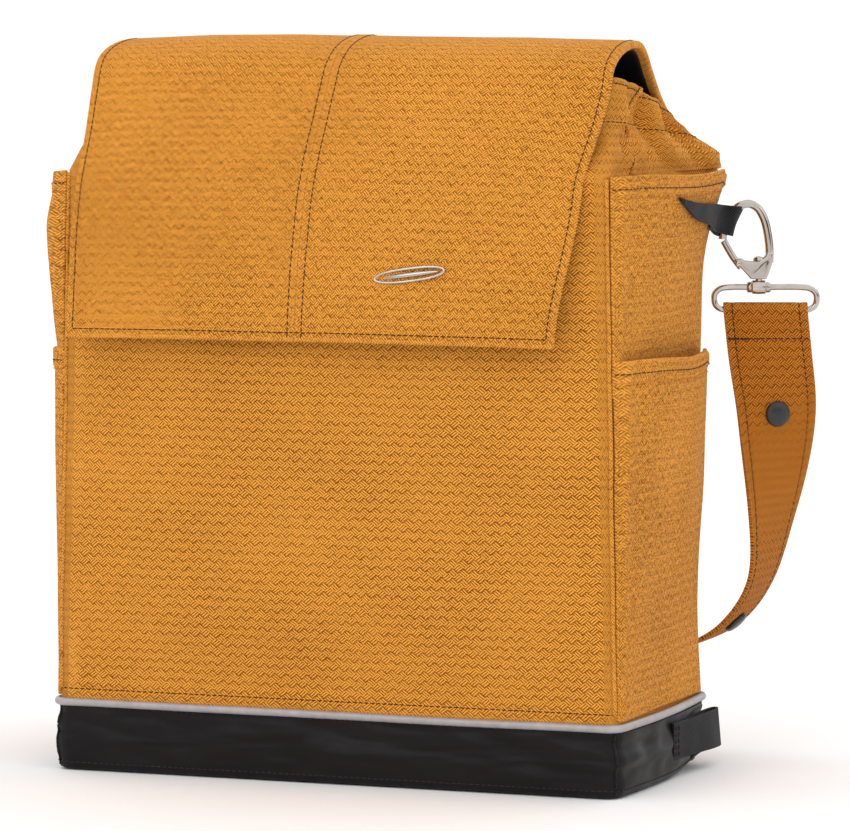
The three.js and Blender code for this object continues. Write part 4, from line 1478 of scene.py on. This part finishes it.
    def add_hinge(self) -> None:
        """Makes the strip that joins the flap to the neck's back hem."""
        line = Route([Vector((0, y * MM, z * MM)) for y, z in self.hinge])
        half = self.hinge_half

        def place(u: float, v: float) -> Vector:
            """A point of the strip, seen from behind."""
            spot = line.at(line.length * v)
            return Vector((lerp(half, -half, u), spot.y + 0.6 * MM * math.sin(u * 40), spot.z))

        strip = cloth_sheet("flap_hinge_strip", (60, 16), (2 * half, line.length), place, self.finishes.cloth)
        thicken(strip, 1.2 * MM, 0.4 * MM)
        bend = (ROOT, "flap_top", Vector((0, 0.063, 0.383)), Vector((0, 0.058, 0.396)))
        enter(strip, bend, "fabric")
        rows = Seam("hinge_stitches", self.finishes.thread)
        rows.run([place(t, 0.14) for t in shares(60)], strip)
        enter(rows.sew(), ROOT, "fabric")

    def add_badge(self) -> None:
        """Makes a plain bright badge: a slim rim around a lens."""
        low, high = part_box("badge")
        centre = (low + high) / 2
        fronts = [t for t in shares(200) if 0.45 <= t < 1]
        v = min(fronts, key=lambda t: abs(self.route.at(self.route.length * t).z - centre.z))
        across = centre.x / self.half_at(v)
        base = self.place(across, v, 0.2 * MM)
        out = self.out_at(v)
        right = Vector((1, 0, 0))
        up = out.cross(right)
        turn = Matrix.Rotation(math.radians(8), 3, out)
        right, up = turn @ right, turn @ up
        reach, tall = (high.x - low.x) / 2 - 1.4 * MM, 3.6 * MM
        ring = []
        for i in range(48):
            angle = 2 * math.pi * i / 48
            c, s = math.cos(angle), math.sin(angle)
            wide = math.copysign(abs(c) ** 0.75, c)
            ring.append(base + right * reach * wide + up * tall * s + out * 0.9 * MM)
        route = Route(ring, closed=True)
        rim = tube("badge_rim", route, 0.75 * MM, self.finishes.nickel, 140, 12, True, 1.0, out)
        enter(rim, "flap_front", "hook_metal", "badge")
        bm = bmesh.new()
        bmesh.ops.create_uvsphere(bm, u_segments=48, v_segments=16, radius=1.0)
        frame_turn = Matrix((right, up, out)).transposed().to_4x4()
        size = Matrix.Diagonal((reach - 3.4 * MM, 1.5 * MM, 1.1 * MM, 1.0))
        matrix = Matrix.Translation(base + out * 0.3 * MM) @ frame_turn @ size
        bmesh.ops.transform(bm, matrix=matrix, verts=bm.verts)
        enter(finish_mesh("badge_lens", bm, self.finishes.nickel), "flap_front", "hook_metal")


# ------------------------------------------------------------------ hooks, loops and strap


@dataclass
class HookSet:
    """One snap hook with its gate, ring and collar, on one side of the bag."""

    finishes: Finishes
    side: Side
    post: tuple[float, float] = (203 * MM, 98 * MM)
    yaw: float = 20.0
    ring_top: float = 284 * MM
    ring_bottom: float = 270.5 * MM
    ring_shift: float = 4 * MM

    COLLAR = (
        (0, -7.2), (2.7, -7.2), (3.3, -6.2), (3.3, -4.4), (4.1, -3.8), (4.3, 0), (4.1, 3.8), (3.3, 4.4),
        (3.3, 6.2), (2.7, 7.2), (0, 7.2),
    )
    STEM = ((0, 0), (2, 0), (2, 15.9), (3.5, 15.9), (3.6, 16.8), (2.9, 17.9), (1.4, 18.5), (0, 18.6))
    EYE = (
        (-21.6, 312.6), (-21.2, 317), (-19.4, 322.5), (-16.2, 328.0), (-11.4, 332.4), (-5.6, 333.6),
        (-0.6, 330.8), (3.0, 324.5), (5.2, 315.5), (6.3, 306), (6.2, 298.6),
    )
    FOOT = (
        (-15.2, 300.4), (-10.4, 301.2), (-8.2, 300.0), (-4.4, 299.4), (0.4, 300.0), (3.6, 302.4),
        (5.0, 305.6), (8.2, 304.6), (8.0, 298.4), (4.6, 288.9), (-4.8, 288.9),
    )
    RIVET = (
        (0, 0), (1.2, 0.15), (1.9, 0.6), (1.9, 0.9), (0.8, 0.95), (0.8, 7.05), (1.9, 7.1), (1.9, 7.4),
        (1.2, 7.85), (0, 8.0),
    )
    LEVER = ((-10.6, 295.6), (-12.6, 298.2), (-15.4, 302.0), (-18.2, 306.6), (-21.0, 311.6))

    def local(self, u: float, v: float, z: float) -> Vector:
        """A place in the hook's own directions: u along the ring, v through it, in millimetres."""
        angle = math.radians(self.yaw)
        x = self.post[0] + (u * math.cos(angle) - v * math.sin(angle)) * MM
        y = self.post[1] + (u * math.sin(angle) + v * math.cos(angle)) * MM
        return Vector((x * self.side.value, y, z * MM))

    @property
    def through(self) -> Vector:
        """The direction through the ring."""
        return (self.local(0, 1, 0) - self.local(0, 0, 0)).normalized()

    @property
    def outward(self) -> Vector:
        """The direction along the ring's bars."""
        return (self.local(1, 0, 0) - self.local(0, 0, 0)).normalized()

    def wire(
        self, name: str, points: Outline, radius: float, steps: int, closed: bool = False, flat: float = 1.0,
    ) -> bpy.types.Object:
        """A wire through points in the ring's plane."""
        route = Route([self.local(u, 0, z) for u, z in points], closed=closed)
        return tube(name, route, radius, self.finishes.nickel, steps, 16, closed, flat, self.through)

    def build(self) -> None:
        """Makes the ring, collar, stem, hook, pin and gate."""
        word = self.side.word
        self.add_ring(word)
        self.add_hook(word)
        self.add_rivet(word)
        lever = self.wire(f"gate_lever_{word}", self.LEVER, 2.1 * MM, 60, flat=0.75)
        enter(lever, f"gate_{word}", "hook_metal", f"gate_{word}")

    def add_ring(self, word: str) -> None:
        """Makes the wire ring, its collar and the stem that the hook turns on."""
        left, right = self.ring_shift / MM - 30.5, self.ring_shift / MM + 30.5
        top, lower = self.ring_top / MM, self.ring_bottom / MM
        points = [
            (left + 9, top), (left + 3.6, top - 0.9), (left + 0.6, top - 3.6), (left, (top + lower) / 2),
            (left + 0.8, lower + 3.0), (left + 3.6, lower + 0.7), (left + 9, lower), (0, lower),
            (right - 9, lower), (right - 3.6, lower + 0.7), (right - 0.8, lower + 3.0),
            (right, (top + lower) / 2), (right - 0.6, top - 3.6), (right - 3.6, top - 0.9), (right - 9, top),
            (0, top),
        ]
        ring = self.wire(f"ring_wire_{word}", points, 1.85 * MM, 260, closed=True)
        enter(ring, "strap", "hook_metal", f"strap_ring_{word}")
        parts = (("ring_collar", self.COLLAR, self.outward), ("ring_stem", self.STEM, Vector((0, 0, 1))))
        for name, profile, axis in parts:
            turned = lathe(f"{name}_{word}", profile, self.local(0, 0, top), axis, self.finishes.nickel)
            enter(turned, "strap", "hook_metal")

    def add_hook(self, word: str) -> None:
        """Makes the hook's eye and its solid foot."""
        wire = self.wire(f"hook_eye_{word}", self.EYE, 2.5 * MM, 150, flat=0.75)
        enter(wire, f"hook_{word}", "hook_metal")
        bm = bmesh.new()
        low = [bm.verts.new(self.local(u, -3.1, z)) for u, z in self.FOOT]
        face = bm.faces.new(low)
        made = bmesh.ops.extrude_face_region(bm, geom=[face])
        far = [v for v in made["geom"] if isinstance(v, bmesh.types.BMVert)]
        bmesh.ops.translate(bm, verts=far, vec=self.through * 6.2 * MM)
        bmesh.ops.recalc_face_normals(bm, faces=bm.faces)
        bmesh.ops.bevel(
            bm, geom=list(bm.edges), offset=1.0 * MM, segments=4, profile=0.5, affect="EDGES", material=-1,
        )
        broad = [f for f in bm.faces if f.calc_area() > 60 * MM * MM]
        for face in broad:
            bmesh.ops.inset_region(bm, faces=[face], thickness=1.6 * MM, depth=0.0)
            bmesh.ops.translate(bm, verts=face.verts, vec=-face.normal * 0.7 * MM)
        foot = finish_mesh(f"hook_foot_{word}", bm, self.finishes.nickel)
        enter(foot, f"hook_{word}", "hook_metal", f"snap_hook_{word}")

    def add_rivet(self, word: str) -> None:
        """Makes the gate's pin, with domed ends proud of the foot."""
        start = self.local(-12.6, -4.0, 298.2)
        rivet = lathe(f"gate_rivet_{word}", self.RIVET, start, self.through, self.finishes.nickel, 24)
        enter(rivet, f"hook_{word}", "hook_metal", f"gate_pin_{word}")


@dataclass
class Loops:
    """The four webbing loops: two at the pocket hems and two on the boot."""

    finishes: Finishes
    form: BodyForm
    pockets: dict[str, Pocket]
    web: float = 1.4 * MM
    upper_cut: float = 19 * MM
    lower_cut: float = 24 * MM

    def strip(
        self, name: str, side: Side, rows: list[Route], width: float, body: Body, *nodes: str,
    ) -> bpy.types.Object:
        """A webbing strip between two edge lines.

        Args:
            name: the piece's name.
            side: the side of the bag that it is on.
            rows: its lower and upper edges.
            width: its flat width.
            body: what it rides on.
            nodes: the CAD nodes that it replaces.

        Returns:
            The strip.
        """
        low, high = rows if side is Side.LEFT else reversed(rows)

        def place(u: float, v: float) -> Vector:
            """A point of the strip."""
            a, b = low.at(low.length * v), high.at(high.length * v)
            return a.lerp(b, u)

        piece = cloth_sheet(name, (14, 110), (width, low.length), place, self.finishes.webbing)
        wall = thicken(piece, self.web, 0.45 * MM).modifiers["thickness"]
        wall.offset = 0.0
        return enter(piece, body, "webbing", *nodes)

    def tack(self, name: str, rows: list[Route], runs: Sequence[float], piece: bpy.types.Object) -> None:
        """Sews rows of stitches across a loop where it starts.

        Args:
            name: the stitches' name.
            rows: the loop's edges.
            runs: where each row lies, as a share of the loop's length.
            piece: the loop.
        """
        low, high = rows
        stitches = Seam(name, self.finishes.dark_thread)
        for run in runs:
            first, last = low.at(low.length * run), high.at(high.length * run)
            stitches.run([first.lerp(last, 0.08 + 0.84 * i / 8) for i in range(9)], piece, 1.0, -self.web / 2)
        enter(stitches.sew(), ROOT, "webbing")

    def upper(self, side: Side) -> None:
        """Makes an upper loop, sewn in under the pocket's hem and folded round the hook."""
        pocket = self.pockets[f"upper_pocket_{side.word}"]
        sign = side.value

        def on_pocket(y: float, z: float, off: float) -> Vector:
            """A place off the pocket's face."""
            share = pocket.share_at(y * MM, z * MM)
            spot = pocket.skin(share, z * MM)
            spot = Vector((spot.x * sign, spot.y, spot.z))
            return settle(spot) + Vector((sign * off * MM, 0, 0))

        def free(x: float, y: float, z: float) -> Vector:
            """A place clear of the pocket, on this side."""
            return Vector((sign * x * MM, y * MM, z * MM))

        rows = []
        for z0, z1, lean in ((339.5, 314.6, -4.2), (341.5, 332.2, 4.2)):
            start = -15 if z0 < 340 else -17
            arch = 9.0 if side is Side.LEFT else 0.0
            rows.append(Route([
                on_pocket(start, z0, 1.9), on_pocket(lerp(start, 44, 0.5), lerp(z0, z1, 0.45), 2.5 + arch),
                on_pocket(52, lerp(z0, z1, 0.7), 3.0 + arch * 0.8), on_pocket(70, lerp(z0, z1, 0.88), 4.4),
                free(190.6 + lean * 0.5, 90, z1), free(189.4 + lean, 97.5, z1), free(186.6 + lean, 100.2, z1),
                free(183.4 + lean, 98.2, z1), free(181.6 + lean * 0.7, 91, z1),
                on_pocket(74, lerp(z0, z1, 0.88), 1.2), on_pocket(60, lerp(z0, z1, 0.75), 0.8),
            ]))
        bend = (ROOT, "strap", Vector((0, 0.070, 0.3225)), Vector((0, 0.088, 0.3225)))
        nodes = (f"loop_root_{side.word}", f"loop_tip_{side.word}")
        piece = self.strip(f"upper_loop_{side.word}", side, rows, self.upper_cut, bend, *nodes)
        self.tack(f"upper_loop_stitches_{side.word}", rows, (0.012, 0.035), piece)

    def lower(self, side: Side) -> None:
        """Makes a lower loop on the boot's side, sagging open towards its fold."""
        low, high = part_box(f"lower_loop_{side.word}")
        sign = side.value
        inner = min(abs(low.x), abs(high.x)) / MM + 0.9
        rows = []
        for z, lean in ((low.z / MM + 4.0, 1.2), (high.z / MM + 2.4, -0.8)):
            rows.append(Route([
                Vector((sign * x * MM, y * MM, z * MM)) for x, y in (
                    (inner + 1.6, low.y / MM + 1), (inner + 2.2, low.y / MM + 14), (inner + 4.4, 44),
                    (inner + 6.2 + lean, 68), (inner + 5.4 + lean, 80), (inner + 3.0 + lean, 83.4),
                    (inner + 1.0, 79.5), (inner + 0.2, 66), (inner + 0.3, 40), (inner + 0.4, low.y / MM + 2),
                )
            ]))
        node = f"lower_loop_{side.word}"
        piece = self.strip(f"lower_webbing_{side.word}", side, rows, self.lower_cut, ROOT, node)
        self.tack(f"lower_loop_stitches_{side.word}", rows, (0.02, 0.05), piece)

    def build(self) -> None:
        """Makes all four."""
        for side in Side:
            self.upper(side)
            self.lower(side)


@dataclass
class Strap:
    """The shoulder strap, its folded ends, its stitching and its press studs."""

    finishes: Finishes
    hook: HookSet
    width: float = 50 * MM
    cloth: float = 2.4 * MM
    twist: float = 175 * MM
    tail: float = 17 * MM
    edge_row: float = 5.2 * MM
    route_points: tuple[tuple[float, float, float], ...] = (
        (210.5, 97, 245), (214.5, 98, 208), (211.5, 101, 150), (203, 105, 108), (184, 110, 82),
        (158, 113, 67), (110, 114, 56), (50, 114, 51), (0, 114, 50),
    )
    places: list[tuple[Vector, Vector, float]] = field(default_factory=list)

    CAP = (
        (0, -0.3), (6.6, -0.3), (7.4, 0.1), (7.7, 0.9), (7.5, 1.6), (6.6, 2.3), (5.0, 2.85), (2.8, 3.2),
        (0, 3.35),
    )
    UNDER = (
        (0, 0), (4.2, 0), (5.6, 0.4), (6.0, 1.2), (5.6, 1.9), (4.4, 2.3), (3.4, 2.4), (3.0, 1.6),
        (2.6, 1.2), (0, 1.1),
    )
    STUDS = (("upper", 62 * MM, "socket"), ("lower", 196 * MM, "stud"))

    def __post_init__(self) -> None:
        """Lays the strap's right half: centre, direction across, and distance below the ring."""
        hook = self.hook
        bar = hook.local(hook.ring_shift / MM, 0, hook.ring_bottom / MM)
        face = -hook.through
        radius = 1.8 * MM + 0.6 * MM + self.cloth / 2

        def on_fold(angle: float) -> Vector:
            """A place on the fold around the ring's bar."""
            return bar + face * radius * math.cos(angle) + Vector((0, 0, radius * math.sin(angle)))

        self.fall = Route([on_fold(0), *(Vector(p) * MM for p in self.route_points)])
        seam = self.fall.at(self.tail + 4 * MM)
        back = face * -(self.cloth + 0.4 * MM)
        for share in (0.0, 0.5, 1.0):
            place = seam.lerp(on_fold(0), share * 0.9) + back * (1.0 - 0.25 * share)
            self.places.append((place, hook.outward, -1.0))
        for i in range(8, 0, -1):
            self.places.append((on_fold(math.pi * i / 8), hook.outward, -1.0))
        for i in range(151):
            run = self.fall.length * i / 150
            self.places.append((self.fall.at(run), self.across_at(run), run))

    def across_at(self, run: float) -> Vector:
        """The direction across the strap a given way below the ring."""
        turn = math.radians(lerp(self.hook.yaw, 90, smooth(run / self.twist)))
        return Vector((math.cos(turn), math.sin(turn), 0))

    def face_at(self, run: float) -> Vector:
        """The way that the strap's outer face looks a given way below the ring."""
        return self.fall.heading(run).cross(self.across_at(run)).normalized()

    def full(self) -> list[tuple[Vector, Vector, float]]:
        """The whole strap's frames, from the right tail to the left tail."""
        flip = Vector((-1, 1, 1))
        other = [(place * flip, across * flip, run) for place, across, run in reversed(self.places[:-1])]
        return [*self.places, *other]

    def band_place(self, u: float, v: float) -> Vector:
        """A point of the strap's outer face."""
        frames, run = self.frames, v * self.runs[-1]
        i = min(max(bisect.bisect_right(self.runs, run) - 1, 0), len(frames) - 2)
        share = (run - self.runs[i]) / (self.runs[i + 1] - self.runs[i])
        here, after = frames[i], frames[i + 1]
        place = here[0].lerp(after[0], share)
        across = here[1].lerp(after[1], share).normalized()
        ahead = (frames[min(i + 2, len(frames) - 1)][0] - frames[max(i - 1, 0)][0]).normalized()
        face = ahead.cross(across).normalized()
        edge = (0.5 - u) * self.width
        ridge = -0.5 * MM * hump(abs(edge), self.width / 2 - self.edge_row, 0.8 * MM)
        slack = 0.5 * MM * ruffle(place, 26.0, 3.0)
        return place + across * edge + face * (self.cloth / 2 + ridge + slack)

    def build(self) -> None:
        """Makes the band, its stitches and its press studs."""
        self.frames = self.full()
        self.runs = [0.0]
        for (a, _, _), (b, _, _) in zip(self.frames, self.frames[1:]):
            self.runs.append(self.runs[-1] + (b - a).length)
        cut = (self.width, self.runs[-1])
        band = cloth_sheet("strap_band", (30, 700), cut, self.band_place, self.finishes.strap_cloth)
        thicken(band, self.cloth, 0.7 * MM)
        enter(band, "strap", "fabric", "strap_web")
        rows = Seam("strap_stitches", self.finishes.thread)
        inset = self.edge_row / self.width
        for u in (inset, 1 - inset):
            rows.run([self.band_place(u, lerp(0.012, 0.988, t)) for t in shares(300)], band)
        end, across, face = self.fall.at(self.tail), self.across_at(self.tail), self.face_at(self.tail)
        for side in Side:
            flip = Vector((side.value, 1, 1))
            edges = [lerp(-0.49, 0.49, t) * self.width for t in shares(20)]
            line = [(end + across * edge + face * self.cloth / 2) * flip for edge in edges]
            rows.run(line, band)
            tack = [line[0].lerp(line[5], i / 8) + Vector((0, 0, 0.4 * MM)) for i in range(9)]
            rows.run(tack, band, 0.7)
            rows.run([p - Vector((0, 0, 0.9 * MM)) for p in tack], band, 0.7)
        enter(rows.sew(), "strap", "fabric")
        self.add_studs()

    def add_studs(self) -> None:
        """Makes the caps on the strap's face and the sockets and studs behind it."""
        for level, run, kind in self.STUDS:
            spot, face = self.fall.at(run), self.face_at(run)
            for side in Side:
                flip = Vector((side.value, 1, 1))
                where, way = spot * flip, face * flip
                top = lathe(
                    f"press_cap_{level}_{side.word}", self.CAP, where + way * self.cloth / 2, way,
                    self.finishes.lacquer, 48,
                )
                enter(top, "strap", "cap", f"snap_cap_{level}_{side.word}")
                under = lathe(
                    f"press_{kind}_{side.word}", self.UNDER, where - way * (self.cloth / 2), -way,
                    self.finishes.lacquer, 36,
                )
                enter(under, "strap", "cap", f"snap_{kind}_{side.word}")


# ------------------------------------------------------------------ the studio


@dataclass
class Studio:
    """The camera, the lights and the pale floor."""

    aim: Vector = field(default_factory=lambda: Vector((0.0243, 0.0092, 0.209)))
    azimuth: float = 20.8
    elevation: float = 4.6
    distance: float = 3.2
    focal: float = 228.7
    light_reach: float = 2.6
    lights: tuple[tuple[str, float, float, tuple[float, float]], ...] = (
        ("key", 1.2, 9, (-12, 24)), ("fill", 1.0, 1.5, (70, 24)), ("rim", 1.0, 5, (165, 35)),
    )

    def back(self, azimuth: float, elevation: float) -> Vector:
        """The way from the aim to a camera or light at these angles."""
        a, e = math.radians(azimuth), math.radians(elevation)
        return Vector((math.sin(a) * math.cos(e), -math.cos(a) * math.cos(e), math.sin(e)))

    def build(self) -> None:
        """Sets up everything."""
        camera = bpy.data.cameras.new("camera")
        camera.lens = self.focal
        camera.sensor_width = 36.0
        camera.sensor_fit = "HORIZONTAL"
        camera.clip_end = 1000
        eye = bpy.data.objects.new("camera", camera)
        way = self.back(self.azimuth, self.elevation)
        eye.location = self.aim + way * self.distance
        eye.rotation_euler = way.to_track_quat("Z", "Y").to_euler()
        bpy.context.scene.collection.objects.link(eye)
        bpy.context.scene.camera = eye
        self.add_floor()
        for name, size, power, angles in self.lights:
            self.add_light(name, size, power, angles)
        self.add_world()

    def add_light(self, name: str, size: float, power: float, angles: tuple[float, float]) -> None:
        """Adds a soft square light that looks at the bag."""
        light = bpy.data.lights.new(name, "AREA")
        light.size = size
        light.energy = power
        piece = bpy.data.objects.new(name, light)
        way = self.back(*angles)
        piece.location = self.aim + way * self.light_reach
        piece.rotation_euler = way.to_track_quat("Z", "Y").to_euler()
        bpy.context.scene.collection.objects.link(piece)

    def add_floor(self) -> None:
        """Adds the floor."""
        bm = bmesh.new()
        bmesh.ops.create_grid(bm, x_segments=8, y_segments=8, size=220.0)
        material = bpy.data.materials.new("pale_floor")
        material.use_nodes = True
        tree = Tree(material.node_tree)
        shader = material.node_tree.nodes["Principled BSDF"]
        cloud = tree.noise(tree.put("ShaderNodeTexCoord").outputs["Object"], 3.0)
        tree.feed(shader.inputs["Base Color"], tree.mix(cloud, (0.93, 0.93, 0.93, 1), (0.95, 0.95, 0.95, 1)))
        shader.inputs["Roughness"].default_value = 0.9
        floor = finish_mesh("floor", bm, material)
        floor.location.z = -0.0004

    def add_world(self) -> None:
        """Adds a white sky, with dark upright bands low down that bright metal picks up.

        The camera itself sees plain white.
        """
        world = bpy.data.worlds.new("studio")
        world.use_nodes = True
        tree = Tree(world.node_tree)
        sky = world.node_tree.nodes["Background"]
        way = tree.put("ShaderNodeSeparateXYZ", {0: tree.put("ShaderNodeTexCoord").outputs["Generated"]})
        height = tree.span(way.outputs[2], 0.1, 0.4, 0.0, 1.0)
        turn = tree.math("ARCTAN2", way.outputs[0], way.outputs[1])
        flags = tree.span(tree.math("SINE", tree.math("MULTIPLY", turn, 5.0)), -0.3, 0.3, 0.0, 1.0)
        low = tree.mix(flags, (0.04, 0.035, 0.03, 1), (1.1, 1.1, 1.1, 1))
        lit = tree.mix(height, low, (1.18, 1.18, 1.18, 1))
        seen = tree.put("ShaderNodeLightPath").outputs["Is Camera Ray"]
        tree.feed(sky.inputs["Color"], tree.mix(seen, lit, (1.05, 1.05, 1.05, 1)))
        sky.inputs["Strength"].default_value = 1.0
        bpy.context.scene.world = world
        settings = bpy.context.scene.view_settings
        settings.view_transform = "Standard"
        settings.look = "None"


# ------------------------------------------------------------------ the whole bag


def dress_nodes(finishes: Finishes) -> None:
    """Gives the CAD nodes that stay in view their finishes."""
    kept = {
        "base_board": finishes.board,
        "panel_magnet_left": finishes.magnet,
        "panel_magnet_right": finishes.magnet,
    }
    for name, material in kept.items():
        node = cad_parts[name]
        node.data.materials.clear()
        node.data.materials.append(material)


def lay_pockets(finishes: Finishes, form: BodyForm) -> dict[str, Pocket]:
    """Lays out the four pockets, the left upper one fuller and slumped.

    Args:
        finishes: the bag's materials.
        form: the body that they are sewn to.

    Returns:
        The pockets by name.
    """
    pockets: dict[str, Pocket] = {}
    for side in Side:
        upper, lower = f"upper_pocket_{side.word}", f"lower_pocket_{side.word}"
        low, high = (corner.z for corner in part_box(upper))
        pockets[upper] = Pocket(finishes, form, side, upper, low, high, UPPER_GAPE, None)
        below, top = (corner.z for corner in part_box(lower))
        pockets[lower] = Pocket(finishes, form, side, lower, below, top, LOWER_GAPE, (below, low))
    full = pockets["upper_pocket_left"]
    full.gape, full.fullness, full.slump = 30 * MM, 0.45, 0.4
    return pockets


def main() -> None:
    """Builds the bag, piece by piece."""
    logging.basicConfig(level=logging.INFO, format="%(name)s: %(message)s")
    Studio().build()
    finishes = Finishes()
    form = BodyForm.read(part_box("upper_pocket_right")[1].z)
    Shell(finishes, form).build()
    Boot(finishes, form).build()
    pockets = lay_pockets(finishes, form)
    for pocket in pockets.values():
        pocket.build()
    Flap(finishes).build()
    hooks = {side: HookSet(finishes, side) for side in Side}
    for hook in hooks.values():
        hook.build()
    Loops(finishes, form, pockets).build()
    Strap(finishes, hooks[Side.RIGHT]).build()
    dress_nodes(finishes)
    bpy.context.view_layer.update()


if __name__ == "__main__":
    main()
